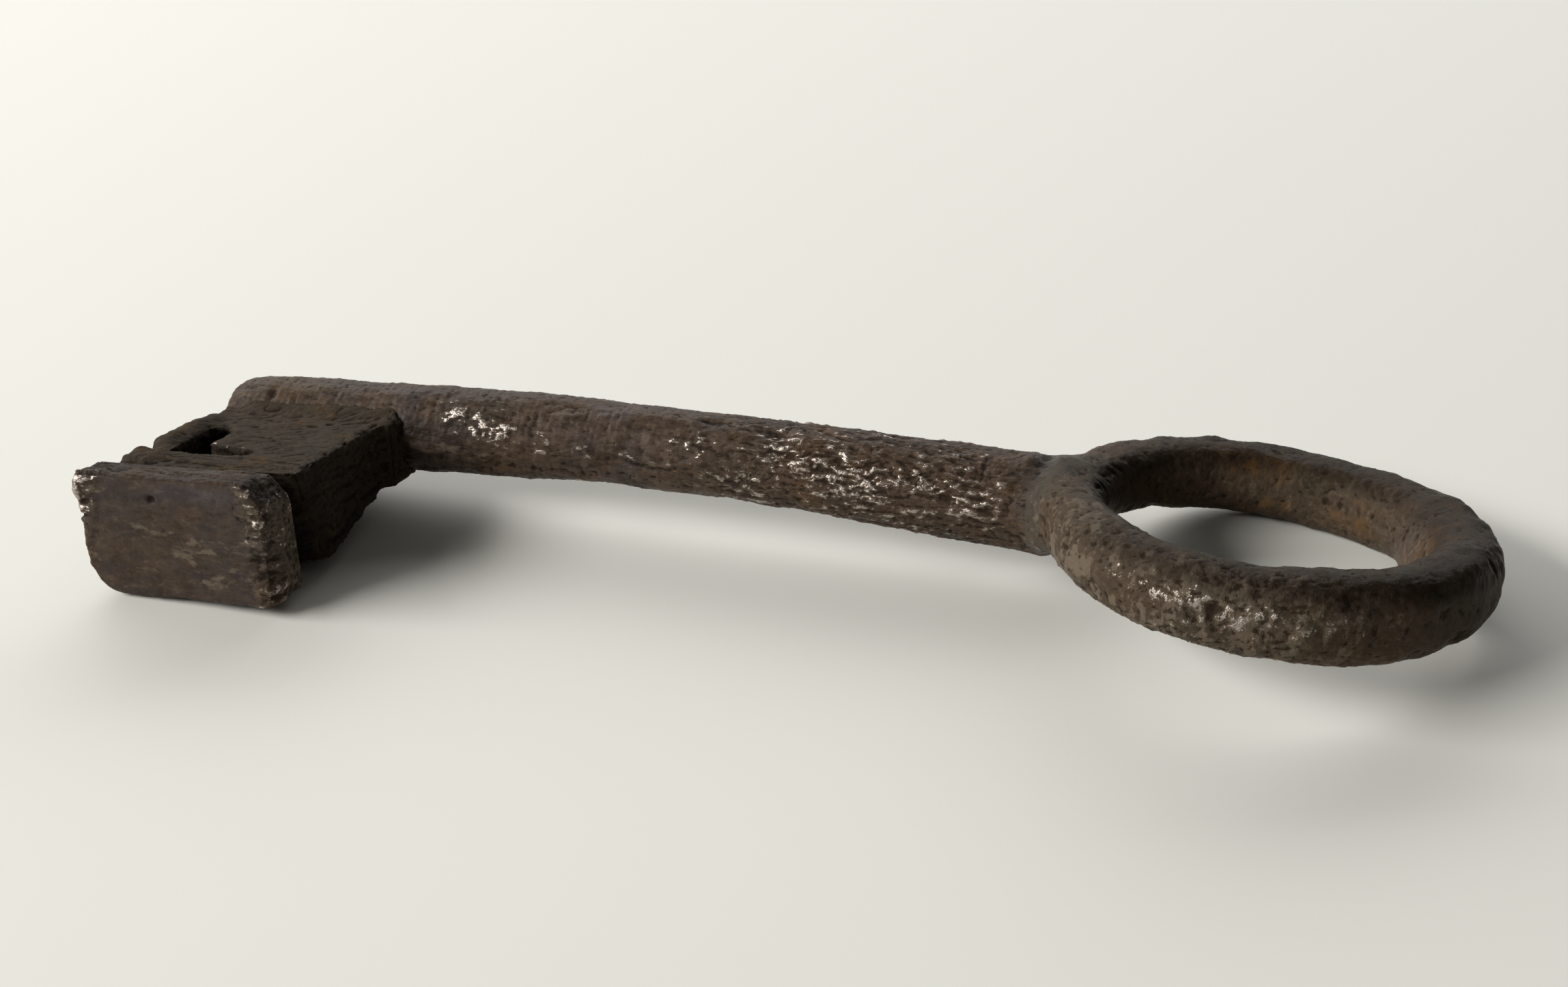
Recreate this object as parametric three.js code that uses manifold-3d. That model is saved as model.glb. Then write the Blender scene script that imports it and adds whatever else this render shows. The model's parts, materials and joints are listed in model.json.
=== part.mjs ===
// A hand-forged iron key lying on a table: round stem, ring bow and a warded bit with a thick foot.
// The key is laid out in its own axes first (millimetres): the ring's centre is the origin, the
// stem runs towards -X, the bit stands towards -Y and Z is the ring's axis. At the end the whole
// key is turned onto the face of its convex hull that it rests on, so that the table is Z = 0.
import * as THREE from 'three';
import { mergeVertices } from 'three/addons/utils/BufferGeometryUtils.js';
import Module from 'manifold-3d';

// Bow: a flat-sided bar bent into a slightly oval ring, higher at its far side and at its front
const ringOuterRadius = 21.35;
const ringOval = 0.45;
const ringBarWidth = 6.5;
const ringBarHeight = 7.2;
const ringEdgeRadius = 2.75;
const ringWiden = 0.45;
const ringSwellAway = 0.7;
const ringSwellFront = 0.5;
const ringTiltX = 0.7;
const ringTiltY = 2.15;

// Stem: round bar, thinnest in the middle, that bends down a little before it reaches the bit
const stemLength = 85.5;
const neckRadius = 4.72;
const middleRadius = 4.18;
const middlePlace = 36.0;
const bitSeatRadius = 4.42;
const noseRadius = 3.1;
const noseRound = 5.0;
const stemRise = 0.11;
const stemSideShift = 0.25;
const stemBendStart = 23.3;
const stemBendLength = 35.0;
const stemBendAngle = 4.6;
const stemSway = 0.45;

// Shoulder where the stem narrows against the ring's bar
const shoulderStart = 0.6;
const shoulderLength = 2.2;
const shoulderRadius = 3.6;

// Tenon of the stem in the bow
const tenonRadius = 2.2;
const tenonLength = 3.0;

// Bit: a thick plate with a flat top and a bellied underside, which droops, and follows the
// stem's bend
const bitLength = 18.4;
const bitInset = 0.35;
const bitReach = 22.9;
const bitRootThickness = 6.9;
const bitBellyThickness = 10.5;
const bitBellyPlace = 16.8;
const bitRootTop = 2.45;
const bitOuterTop = 4.35;
const bitRootPlace = 5.1;
const bitDroop = 6.8;
const bitRoll = 4.8;
const bitSeatDrop = 0.23;
const bitFlare = 1.2;
const bitFlareLength = 3.6;
const stemCoreDepth = 1.0;
const tongueDepth = 2.2;
const tongueThickness = 4.2;
const tongueInset = 2.0;

// Cut from the tip side: a lane along the prong, then a lane along the outer strip
const prongWidth = 2.2;
const prongBulge = 0.6;
const prongLaneWidth = 2.7;
const prongLaneStart = 9.0;
const prongLaneRound = 1.0;
const prongTipSlope = 1.6;
const prongTipGap = 0.5;
const stripWidth = 4.6;
const stripSlope = 0.9;
const stripLaneWidth = 3.5;
const stripLaneEndWidth = 1.7;
const stripLaneLength = 10.5;
const stripOverhang = 0.4;

// Cut from the bow side: a wedge between the plate and its foot, wider below than above
const wedgeLength = 11.0;
const wedgeMouthAbove = 0.9;
const wedgeMouthBelow = 4.2;

// Foot: the thick outer bar of the bit, bevelled at its bow end
const footLength = 20.3;
const footThickness = 4.8;
const footHeight = 12.9;
const footBackDrop = 0.9;
const footCornerRadius = 1.1;
const footHeelRadius = 4.8;
const footBevelWidth = 0.9;
const footBevelDepth = 1.8;
const footSideRound = 0.8;
const footOverhangAtTip = 2.1;
const footDropInZ = 1.1;
const footKeyDepth = 1.2;
const footKeyHeight = 4.0;
const footKeyInset = 1.5;

// Gap left between two pieces where one is cut to the other
const seatGap = 0.3;

// Smoothness of round forms
const ringSteps = 60;
const stemSides = 30;
const stemRings = 26;
const cornerSteps = 4;

const wasm = await Module();
wasm.setup();

const radians = (degrees) => THREE.MathUtils.degToRad(degrees);

// Joins the vertices that a geometry repeats, and drops triangles that shrink to a line
function weld(geometry) {
  geometry.deleteAttribute('normal');
  geometry.deleteAttribute('uv');
  const merged = mergeVertices(geometry, 1e-4);
  const index = merged.index.array;
  const kept = [];
  for (let i = 0; i < index.length; i += 3) {
    const [a, b, c] = [index[i], index[i + 1], index[i + 2]];
    if (a !== b && b !== c && c !== a) kept.push(a, b, c);
  }
  merged.setIndex(kept);
  return merged;
}

// A welded closed mesh as a solid that can be joined and cut
function toSolid(geometry) {
  return new wasm.Manifold(new wasm.Mesh({
    numProp: 3,
    vertProperties: new Float32Array(geometry.attributes.position.array),
    triVerts: new Uint32Array(geometry.index.array),
  }));
}

// A solid back as a mesh with flat faces
function toGeometry(solid) {
  const mesh = solid.getMesh();
  const geometry = new THREE.BufferGeometry();
  geometry.setAttribute('position', new THREE.BufferAttribute(new Float32Array(mesh.vertProperties), 3));
  geometry.setIndex(new THREE.BufferAttribute(new Uint32Array(mesh.triVerts), 1));
  const flat = geometry.toNonIndexed();
  flat.computeVertexNormals();
  return flat;
}

// Moves every vertex by a rule
function bend(geometry, rule) {
  const position = geometry.attributes.position;
  const point = new THREE.Vector3();
  for (let i = 0; i < position.count; i += 1) {
    point.fromBufferAttribute(position, i);
    rule(point);
    position.setXYZ(i, point.x, point.y, point.z);
  }
  return geometry;
}

// A prism whose outline is drawn in two of the key's axes, and which runs along the third
function prism(shape, length, across, upwards, along) {
  const body = weld(new THREE.ExtrudeGeometry(shape, {
    depth: length,
    bevelEnabled: false,
    curveSegments: cornerSteps,
  }));
  body.translate(0, 0, -length / 2);
  body.applyMatrix4(new THREE.Matrix4().makeBasis(across, upwards, along));
  return body;
}
const xAxis = new THREE.Vector3(1, 0, 0);
const yAxis = new THREE.Vector3(0, 1, 0);
const zAxis = new THREE.Vector3(0, 0, 1);
const planPrism = (shape, height) => prism(shape, height, xAxis, yAxis, zAxis);
const frontPrism = (shape, depth) => prism(shape, depth, xAxis, zAxis, yAxis.clone().negate());
const endPrism = (shape, length) => prism(shape, length, yAxis, zAxis, xAxis);

const stemTipX = -ringOuterRadius - stemLength;
const bitTipX = stemTipX + bitInset;
const bitBowX = bitTipX + bitLength;
const bitSeatX = (bitTipX + bitBowX) / 2;

// Distance along the stem from the ring's edge
const alongStem = (x) => Math.max(-ringOuterRadius - x, 0);
// The stem's centre line is straight, bends down along an arc, and is straight again
function stemCentreZ(x) {
  const bent = THREE.MathUtils.clamp(alongStem(x) - stemBendStart, 0, stemBendLength);
  const beyond = Math.max(alongStem(x) - stemBendStart - stemBendLength, 0);
  const slope = Math.tan(radians(stemBendAngle));
  return stemRise - slope * (bent * bent / (2 * stemBendLength) + beyond);
}
const stemCentreY = (x) => stemSideShift + stemSway * alongStem(x) / stemLength;

// The stem's radius at a place along it: slimmest in the middle, and narrowed at the shoulder
function stemRadius(x) {
  const place = alongStem(x);
  const waist = place < middlePlace
    ? THREE.MathUtils.lerp(neckRadius, middleRadius, THREE.MathUtils.smoothstep(place, 0, middlePlace))
    : THREE.MathUtils.lerp(middleRadius, bitSeatRadius,
      THREE.MathUtils.smoothstep(place, middlePlace, stemLength - bitLength));
  const shoulderX = -ringOuterRadius - shoulderStart;
  const narrow = THREE.MathUtils.smoothstep(x, shoulderX, shoulderX + shoulderLength);
  return THREE.MathUtils.lerp(waist, shoulderRadius, narrow);
}

// The stem as a revolved profile, grown by an allowance where it cuts its neighbours
function stemGeometry(grow) {
  const innerEndX = -ringOuterRadius + ringBarWidth / 2;
  const profile = [new THREE.Vector2(0, innerEndX)];
  const noseStartX = stemTipX + noseRound;
  for (let i = 0; i <= stemRings; i += 1) {
    const x = THREE.MathUtils.lerp(innerEndX, noseStartX, i / stemRings);
    profile.push(new THREE.Vector2(stemRadius(x) + grow, x));
  }
  for (let i = 1; i <= cornerSteps; i += 1) {
    const turn = (i / cornerSteps) * Math.PI / 2;
    const radius = noseRadius + (bitSeatRadius - noseRadius) * Math.cos(turn) + grow;
    profile.push(new THREE.Vector2(radius, noseStartX - (noseRound + grow) * Math.sin(turn)));
  }
  profile.push(new THREE.Vector2(0, stemTipX - grow));
  profile.reverse();
  const lathe = weld(new THREE.LatheGeometry(profile, stemSides));
  lathe.rotateZ(-Math.PI / 2);
  return bend(lathe, (point) => {
    point.z += stemCentreZ(point.x);
    point.y += stemCentreY(point.x);
  });
}

// The ring's bar section: flat top, bottom and sides, with broadly rounded edges
function ringSection(grow) {
  const halfWidth = ringBarWidth / 2;
  const halfHeight = ringBarHeight / 2;
  const centre = ringOuterRadius - halfWidth;
  const points = [];
  const corners = [[1, 1, 0], [-1, 1, 1], [-1, -1, 2], [1, -1, 3]];
  for (const [sideX, sideY, quarter] of corners) {
    for (let i = 0; i <= cornerSteps; i += 1) {
      const turn = (quarter + i / cornerSteps) * Math.PI / 2;
      points.push(new THREE.Vector2(
        centre + sideX * (halfWidth - ringEdgeRadius) + (ringEdgeRadius + grow) * Math.cos(turn),
        sideY * (halfHeight - ringEdgeRadius) + (ringEdgeRadius + grow) * Math.sin(turn),
      ));
    }
  }
  points.push(points[0].clone());
  return points;
}

// The bow: the section goes round, the ring is made oval, its bar swells, and the ring is tilted
function ringGeometry(grow) {
  const lathe = weld(new THREE.LatheGeometry(ringSection(grow), ringSteps));
  lathe.rotateX(Math.PI / 2);
  const reach = ringOuterRadius - ringBarWidth / 2;
  bend(lathe, (point) => {
    const offset = Math.hypot(point.x, point.y) - reach;
    const widened = 1 + offset * ringWiden * point.x / (reach * reach * ringBarWidth);
    point.z *= 1 + (ringSwellAway * point.x - ringSwellFront * point.y) / (reach * ringBarHeight);
    point.x *= widened;
    point.y *= widened;
    point.x *= 1 - ringOval / (2 * ringOuterRadius);
    point.y *= 1 + ringOval / (2 * ringOuterRadius);
  });
  lathe.rotateX(radians(ringTiltX));
  lathe.rotateY(radians(ringTiltY));
  return lathe;
}

// The round tenon at the stem's end, which sits in a socket in the ring's bar
function tenonGeometry(grow) {
  const length = tenonLength + bitSeatRadius + grow;
  const radius = tenonRadius + grow;
  const tenon = weld(new THREE.CylinderGeometry(radius, radius, length, stemSides));
  tenon.rotateZ(Math.PI / 2);
  tenon.translate(-ringOuterRadius + tenonLength + grow - length / 2, stemSideShift, stemRise);
  return tenon;
}

// Section of the plate: level top, and an underside that bellies down and runs level again
function plateSection() {
  const belly = THREE.MathUtils.mapLinear(bitBellyPlace, bitRootPlace, bitReach, bitRootTop, bitOuterTop);
  const shape = new THREE.Shape();
  shape.moveTo(-stemCoreDepth, bitRootTop);
  shape.lineTo(-bitRootPlace, bitRootTop);
  shape.lineTo(-bitReach, bitOuterTop);
  shape.lineTo(-bitReach, bitOuterTop - bitBellyThickness);
  shape.lineTo(-bitBellyPlace, belly - bitBellyThickness);
  shape.lineTo(-bitRootPlace, bitRootTop - bitRootThickness);
  shape.lineTo(-stemCoreDepth, bitRootTop - bitRootThickness);
  shape.closePath();
  return shape;
}

// Plan of the plate: the prong, its lane, the strip's lane, and a flare towards the stem
function platePlan() {
  const stripY = -bitReach + stripWidth;
  const laneOuterX = bitTipX + prongWidth;
  const laneInnerX = laneOuterX + prongLaneWidth;
  const laneMiddleX = (laneOuterX + laneInnerX) / 2;
  const laneEndX = bitTipX + stripLaneLength;
  const prongEndY = stripY + prongTipGap;
  const flareStartY = -bitRootPlace - bitFlareLength;
  const shape = new THREE.Shape();
  shape.moveTo(bitTipX, -stemCoreDepth);
  shape.lineTo(bitTipX, -prongLaneStart);
  shape.quadraticCurveTo(bitTipX - 2 * prongBulge, (prongEndY - prongLaneStart) / 2,
    bitTipX, prongEndY + prongTipSlope);
  shape.quadraticCurveTo(bitTipX, prongEndY, laneOuterX, prongEndY);
  shape.lineTo(laneOuterX, -prongLaneStart - prongLaneRound);
  shape.quadraticCurveTo(laneMiddleX, -prongLaneStart + prongLaneRound,
    laneInnerX, -prongLaneStart - prongLaneRound);
  shape.lineTo(laneInnerX, stripY + stripLaneWidth);
  shape.lineTo(laneEndX, stripY + stripSlope + stripLaneEndWidth);
  shape.quadraticCurveTo(laneEndX + stripLaneEndWidth / 2, stripY + stripSlope + stripLaneEndWidth / 2,
    laneEndX, stripY + stripSlope);
  shape.lineTo(bitTipX - stripOverhang, stripY);
  shape.lineTo(bitTipX - stripOverhang, -bitReach);
  shape.lineTo(bitBowX, -bitReach);
  shape.lineTo(bitBowX, flareStartY);
  shape.quadraticCurveTo(bitBowX, -bitRootPlace, bitBowX + bitFlare, -bitRootPlace);
  shape.lineTo(bitBowX + bitFlare, -stemCoreDepth);
  shape.closePath();
  return shape;
}

// Wedge between the plate and the foot: it opens towards the bow, and more below than above
function wedgeGeometry() {
  const startX = bitBowX - wedgeLength;
  const shape = new THREE.Shape();
  shape.moveTo(startX, 0);
  shape.lineTo(bitBowX + bitFlare, -seatGap);
  shape.lineTo(bitBowX + bitFlare, (wedgeLength + bitFlare) / wedgeLength);
  shape.closePath();
  const wedge = planPrism(shape, 2 * bitBellyThickness);
  const bottom = bitOuterTop - bitBellyThickness;
  return bend(wedge, (point) => {
    const mouth = THREE.MathUtils.mapLinear(point.z, bottom, bitOuterTop, wedgeMouthBelow, wedgeMouthAbove);
    point.y = -bitReach + point.y * Math.max(mouth, seatGap);
  });
}

// The tongue that lets the plate into the stem
function tongueGeometry(grow) {
  const length = bitLength - 2 * tongueInset + 2 * grow;
  const inner = -bitSeatRadius + tongueDepth + grow;
  const outer = -bitRootPlace - seatGap;
  const tongue = weld(new THREE.BoxGeometry(length, inner - outer, tongueThickness + 2 * grow));
  tongue.translate(bitSeatX, (inner + outer) / 2, bitRootTop - bitRootThickness / 2);
  return tongue;
}

// The rib on the foot's inner face, which sits in a groove in the plate's outer strip
function footKeyGeometry(grow) {
  const left = bitTipX + footKeyInset - grow;
  const right = bitBowX - wedgeLength - footKeyInset + grow;
  const inner = -bitReach + footKeyDepth + grow;
  const outer = -bitReach - 2 * seatGap;
  const rib = weld(new THREE.BoxGeometry(right - left, inner - outer, footKeyHeight + 2 * grow));
  rib.translate((left + right) / 2, (inner + outer) / 2, bitOuterTop - bitBellyThickness / 2);
  return rib;
}

// Front view of the foot: its lower corner on the tip side is worn to a large round
function footFront() {
  const halfLength = footLength / 2;
  const halfHeight = footHeight / 2;
  const r = footCornerRadius;
  const shape = new THREE.Shape();
  shape.moveTo(halfLength - r, -halfHeight);
  shape.quadraticCurveTo(halfLength, -halfHeight, halfLength, -halfHeight + r);
  shape.lineTo(halfLength, halfHeight - r);
  shape.quadraticCurveTo(halfLength, halfHeight, halfLength - r, halfHeight);
  shape.lineTo(-halfLength + r, halfHeight);
  shape.quadraticCurveTo(-halfLength, halfHeight, -halfLength, halfHeight - r);
  shape.lineTo(-halfLength, -halfHeight + footHeelRadius);
  shape.quadraticCurveTo(-halfLength, -halfHeight, -halfLength + footHeelRadius, -halfHeight);
  shape.closePath();
  return shape;
}

// Plan of the foot: a small round at the tip side of its face, a broad bevel at the bow side
function footPlan() {
  const halfLength = footLength / 2;
  const shape = new THREE.Shape();
  shape.moveTo(-halfLength, 0);
  shape.lineTo(-halfLength, -footThickness + footSideRound);
  shape.quadraticCurveTo(-halfLength, -footThickness, -halfLength + footSideRound, -footThickness);
  shape.lineTo(halfLength - footBevelWidth, -footThickness);
  shape.lineTo(halfLength, -footThickness + footBevelDepth);
  shape.lineTo(halfLength, 0);
  shape.closePath();
  return shape;
}

// Section of the foot: its top falls a little towards the plate, and its face has rounded edges
function footSection() {
  const halfHeight = footHeight / 2;
  const shape = new THREE.Shape();
  shape.moveTo(0, halfHeight - footBackDrop);
  shape.lineTo(0, -halfHeight);
  shape.lineTo(-footThickness + footSideRound, -halfHeight);
  shape.quadraticCurveTo(-footThickness, -halfHeight, -footThickness, -halfHeight + footSideRound);
  shape.lineTo(-footThickness, halfHeight - footSideRound);
  shape.quadraticCurveTo(-footThickness, halfHeight, -footThickness + footSideRound, halfHeight);
  shape.closePath();
  return shape;
}

// The foot: what its front view, plan and section have in common, set against the plate
function footSolid() {
  const front = frontPrism(footFront(), 4 * footThickness);
  const plan = planPrism(footPlan(), 2 * footHeight);
  const section = endPrism(footSection(), 2 * footLength);
  const slab = toSolid(front).intersect(toSolid(plan)).intersect(toSolid(section));
  const middleX = bitTipX - footOverhangAtTip + footLength / 2;
  return slab.translate([middleX, -bitReach - seatGap, -footDropInZ]);
}

// The bit stands on the stem's centre line: it rolls with the stem's bend and droops a little
function seatBit(solid) {
  return solid.translate([-bitSeatX, 0, 0])
    .rotate([0, -bitRoll, 0])
    .rotate([bitDroop, 0, 0])
    .translate([bitSeatX, stemCentreY(bitSeatX), stemCentreZ(bitSeatX) - bitSeatDrop]);
}

// Pieces as solids, each cut to its neighbour with the seat gap
const ringBar = toSolid(ringGeometry(0));
const stemBar = toSolid(stemGeometry(0));
const tenon = toSolid(tenonGeometry(0)).intersect(toSolid(ringGeometry(seatGap)).add(stemBar));
const plateBlank = toSolid(endPrism(plateSection(), 3 * bitLength).translate(bitSeatX, 0, 0))
  .intersect(toSolid(planPrism(platePlan(), 4 * bitBellyThickness)))
  .subtract(toSolid(wedgeGeometry()));
const plate = seatBit(plateBlank);
const tongue = seatBit(toSolid(tongueGeometry(0)));
const tongueSlot = seatBit(toSolid(tongueGeometry(seatGap)));
const footRib = seatBit(toSolid(footKeyGeometry(0)));
const footGroove = seatBit(toSolid(footKeyGeometry(seatGap)));

const solids = {
  bow_ring: ringBar.subtract(toSolid(tenonGeometry(seatGap))),
  stem: stemBar.subtract(toSolid(ringGeometry(seatGap))).add(tenon).subtract(tongueSlot),
  bit_plate: plate.subtract(toSolid(stemGeometry(seatGap))).add(tongue).subtract(footGroove),
  bit_foot: seatBit(footSolid()).add(footRib),
};
const colours = { bow_ring: 0x3a2c22, stem: 0x2e2621, bit_plate: 0x352d24, bit_foot: 0x3b2f29 };
const roughness = { bow_ring: 0.5, stem: 0.42, bit_plate: 0.62, bit_foot: 0.5 };

// Volume of a mesh of triangles, and its centre weighted by that volume
function massOf(geometry) {
  const position = geometry.attributes.position;
  const corners = [new THREE.Vector3(), new THREE.Vector3(), new THREE.Vector3()];
  const moment = new THREE.Vector3();
  let volume = 0;
  for (let i = 0; i < position.count; i += 3) {
    corners.forEach((corner, j) => corner.fromBufferAttribute(position, i + j));
    const [a, b, c] = corners;
    const wedge = a.dot(b.clone().cross(c)) / 6;
    volume += wedge;
    moment.addScaledVector(a.clone().add(b).add(c), wedge / 4);
  }
  return { volume, moment };
}

const key = new THREE.Group();
for (const [name, solid] of Object.entries(solids)) {
  const parts = solid.decompose();
  parts.sort((a, b) => b.volume() - a.volume());
  const material = new THREE.MeshStandardMaterial({
    color: colours[name],
    roughness: roughness[name],
    metalness: 0.6,
  });
  const mesh = new THREE.Mesh(toGeometry(parts[0]), material);
  mesh.name = name;
  key.add(mesh);
}

// Finds which way is up when the key lies still: it rests on the face of its convex hull that
// is straight below its centre of mass
function restingUp(meshes) {
  const masses = meshes.map((mesh) => massOf(mesh.geometry));
  const volume = masses.reduce((sum, mass) => sum + mass.volume, 0);
  const centre = new THREE.Vector3();
  masses.forEach((mass) => centre.addScaledVector(mass.moment, 1 / volume));
  const hull = toGeometry(wasm.Manifold.hull(Object.values(solids))).attributes.position;
  const face = new THREE.Triangle();
  const normal = new THREE.Vector3();
  const best = { up: null, level: 0 };
  for (let i = 0; i < hull.count; i += 3) {
    face.a.fromBufferAttribute(hull, i);
    face.b.fromBufferAttribute(hull, i + 1);
    face.c.fromBufferAttribute(hull, i + 2);
    face.getNormal(normal);
    const foot = centre.clone().addScaledVector(normal, face.a.clone().sub(centre).dot(normal));
    if (-normal.z > best.level && face.containsPoint(foot)) {
      best.up = normal.clone().negate();
      best.level = -normal.z;
    }
  }
  return best.up;
}

// Turns the key upright and puts the middle of its box above the origin, on the table
function layDown(group) {
  const laid = new THREE.Group();
  laid.add(group);
  group.quaternion.setFromUnitVectors(restingUp(group.children), zAxis);
  laid.updateMatrixWorld(true);
  const box = new THREE.Box3().setFromObject(laid, true);
  const centre = box.getCenter(new THREE.Vector3());
  group.position.set(-centre.x, -centre.y, -box.min.z);
  laid.updateMatrixWorld(true);
  return laid;
}

const group = layDown(key);
export default group;
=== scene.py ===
"""A hand-forged iron key on a pale table: stem, ring bow, warded bit and foot, dressed in old iron.

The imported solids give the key's place. Each of them is replaced by a surface worked out with numpy
in the key's own axes (millimetres: ring centre at the origin, stem towards -X, bit towards -Y), and
then turned and moved to where the solids lie (metres).
"""

import json
import logging
import math
from dataclasses import dataclass
from enum import Enum
from functools import reduce
from itertools import product
from typing import Any, Callable, Sequence

import bpy
import numpy as np
from mathutils import Matrix, Vector


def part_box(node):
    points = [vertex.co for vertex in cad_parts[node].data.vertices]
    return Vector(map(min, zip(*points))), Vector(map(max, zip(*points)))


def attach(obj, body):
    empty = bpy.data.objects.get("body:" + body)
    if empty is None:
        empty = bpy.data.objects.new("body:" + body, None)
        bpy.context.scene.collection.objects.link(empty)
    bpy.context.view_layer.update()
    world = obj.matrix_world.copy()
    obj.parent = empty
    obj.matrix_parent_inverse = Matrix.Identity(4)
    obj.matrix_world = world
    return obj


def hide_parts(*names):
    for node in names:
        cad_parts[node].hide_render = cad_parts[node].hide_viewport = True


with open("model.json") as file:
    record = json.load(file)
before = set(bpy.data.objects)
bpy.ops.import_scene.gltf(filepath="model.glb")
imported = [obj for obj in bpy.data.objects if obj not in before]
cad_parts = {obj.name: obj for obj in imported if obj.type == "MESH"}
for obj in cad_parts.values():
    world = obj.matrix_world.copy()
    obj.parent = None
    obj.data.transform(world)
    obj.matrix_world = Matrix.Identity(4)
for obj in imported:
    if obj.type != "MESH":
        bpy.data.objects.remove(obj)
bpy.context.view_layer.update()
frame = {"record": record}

LOG = logging.getLogger("iron_key")
MM = 0.001

Array = np.ndarray
Triple = tuple[float, float, float]
Size = float | Sequence[float]
NO_TRIANGLES = np.zeros((0, 3), int)
TINY = 1e-12

# The noise's recipe: primes that mix a lattice point's numbers, and how each octave differs from the last
AXIS_PRIMES = (374761393, 668265263, 1440662683)
SEED_PRIME = 974711
MIXING = ((13, 1274126177), (16, 668265263))
LAST_SHIFT = 15
WORD = 0xFFFFFFFF
OCTAVE_TURN = np.array([[0.96, 0.20, -0.20], [-0.28, 0.69, -0.67], [0.0, 0.70, 0.71]])
OCTAVE_SHIFT = 17.3
OCTAVE_SHRINK = 2.03
OCTAVE_FADE = 0.52
NOISE_GAIN = 1.6

# Shapes of single marks, in their own widths
PIT_RADIUS = 0.18
PIT_SPREAD = 0.30
RIM_PLACE = 1.3
RIM_WIDTH = 0.35

# How far a full crest or a full edge stands out of the evened surface (mm), and how often that is evened
CREST_HEIGHT = 0.045
CREST_ROUNDS = 9
EDGE_HEIGHT = 0.07
EDGE_ROUNDS = 10


class Slot(Enum):
    """The record's material slots."""

    STEM = "stem_iron"
    RING = "ring_iron"
    BIT = "bit_iron"
    FOOT = "foot_iron"


# Noise and relief on whole arrays of points


def lattice_values(cells: Array, seed: int) -> Array:
    """Gives each whole-number lattice point a fixed value from 0 to 1, by mixing its bits.

    Args:
        cells: whole numbers, shape (..., 3).
        seed: number of the pattern.

    Returns:
        Values from 0 to 1, shape (...).
    """
    mixed = sum(cells[..., axis] * prime for axis, prime in enumerate(AXIS_PRIMES))
    mixed = (mixed + seed * SEED_PRIME) & WORD
    for shift, prime in MIXING:
        mixed = ((mixed ^ (mixed >> shift)) * prime) & WORD
    return (mixed ^ (mixed >> LAST_SHIFT)) / WORD


def smooth_noise(points: Array, seed: int) -> Array:
    """Noise from -1 to 1: values at lattice points, blended by a fifth-order fade along each axis.

    Args:
        points: places in lattice cells, shape (n, 3).
        seed: number of the pattern.

    Returns:
        Noise, shape (n,).
    """
    cell = np.floor(points).astype(np.int64)
    part = points - cell
    fade = part ** 3 * (part * (part * 6.0 - 15.0) + 10.0)
    total = np.zeros(len(points))
    for corner in product((0, 1), repeat=3):
        step = np.array(corner)
        weight = np.prod(np.where(step == 1, fade, 1.0 - fade), axis=-1)
        total += weight * lattice_values(cell + step, seed)
    return total * 2.0 - 1.0


def fractal_noise(points: Array, size: Size, octaves: int, seed: int) -> Array:
    """Sum of noises that halve in size and height, each turned against the last; about -1 to 1.

    Args:
        points: places in millimetres, shape (n, 3).
        size: width of the largest features in millimetres, one for all axes or one for each.
        octaves: how many noises are added.
        seed: number of the pattern.

    Returns:
        Noise, shape (n,).
    """
    place = points / np.asarray(size, float)
    total = np.zeros(len(points))
    height = 1.0
    reach = 0.0
    for octave in range(octaves):
        total += height * smooth_noise(place + OCTAVE_SHIFT * octave, seed + octave)
        reach += height
        place = (place @ OCTAVE_TURN.T) * OCTAVE_SHRINK
        height *= OCTAVE_FADE
    return total / reach * NOISE_GAIN


def wandering(points: Array, size: float, reach: float, seed: int) -> Array:
    """Points shifted by a smooth noise along each axis, so that what is drawn on them wanders."""
    shift = [smooth_noise(points / size, seed + axis) for axis in range(3)]
    return points + reach * np.stack(shift, axis=-1)


def crests(points: Array, size: Size, width: float, octaves: int, seed: int) -> Array:
    """Thin ridges: 1 on the lines where a noise passes zero, falling evenly to 0 at each side.

    Args:
        points: places in millimetres, shape (n, 3).
        size: width of the noise's features.
        width: how far from zero the noise is where a ridge ends.
        octaves: how many noises are added.
        seed: number of the pattern.

    Returns:
        Ridge heights from 0 to 1, shape (n,).
    """
    return np.clip(1.0 - np.abs(fractal_noise(points, size, octaves, seed)) / width, 0.0, 1.0)


def terraces(height: Array, step: float, sharpness: float) -> Array:
    """Turns a smooth height into layers: flat treads with short steep steps between them.

    Args:
        height: smooth heights.
        step: height of one layer.
        sharpness: how steep the steps are, 1 for a plain slope.

    Returns:
        Layered heights.
    """
    level = height / step
    whole = np.floor(level)
    part = np.clip((level - whole - 0.5) * sharpness + 0.5, 0.0, 1.0)
    return (whole + part * part * (3.0 - 2.0 * part)) * step


def nearest_seed(points: Array, size: Size, seed: int) -> tuple[Array, Array]:
    """Distance to the nearest of the points strewn one to a cell, and that point's own value.

    Args:
        points: places in millimetres, shape (n, 3).
        size: width of a cell.
        seed: number of the pattern.

    Returns:
        Distances in cells, and a value from 0 to 1 for each nearest point.
    """
    place = points / np.asarray(size, float)
    cell = np.floor(place).astype(np.int64)
    best = np.full(len(points), 9.0)
    mark = np.zeros(len(points))
    for offset in product((-1, 0, 1), repeat=3):
        home = cell + np.array(offset)
        jitter = np.stack([lattice_values(home, seed + axis) for axis in (1, 2, 3)], axis=-1)
        distance = np.linalg.norm(place - home - jitter, axis=-1)
        closer = distance < best
        best = np.where(closer, distance, best)
        mark = np.where(closer, lattice_values(home, seed + 4), mark)
    return best, mark


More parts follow.
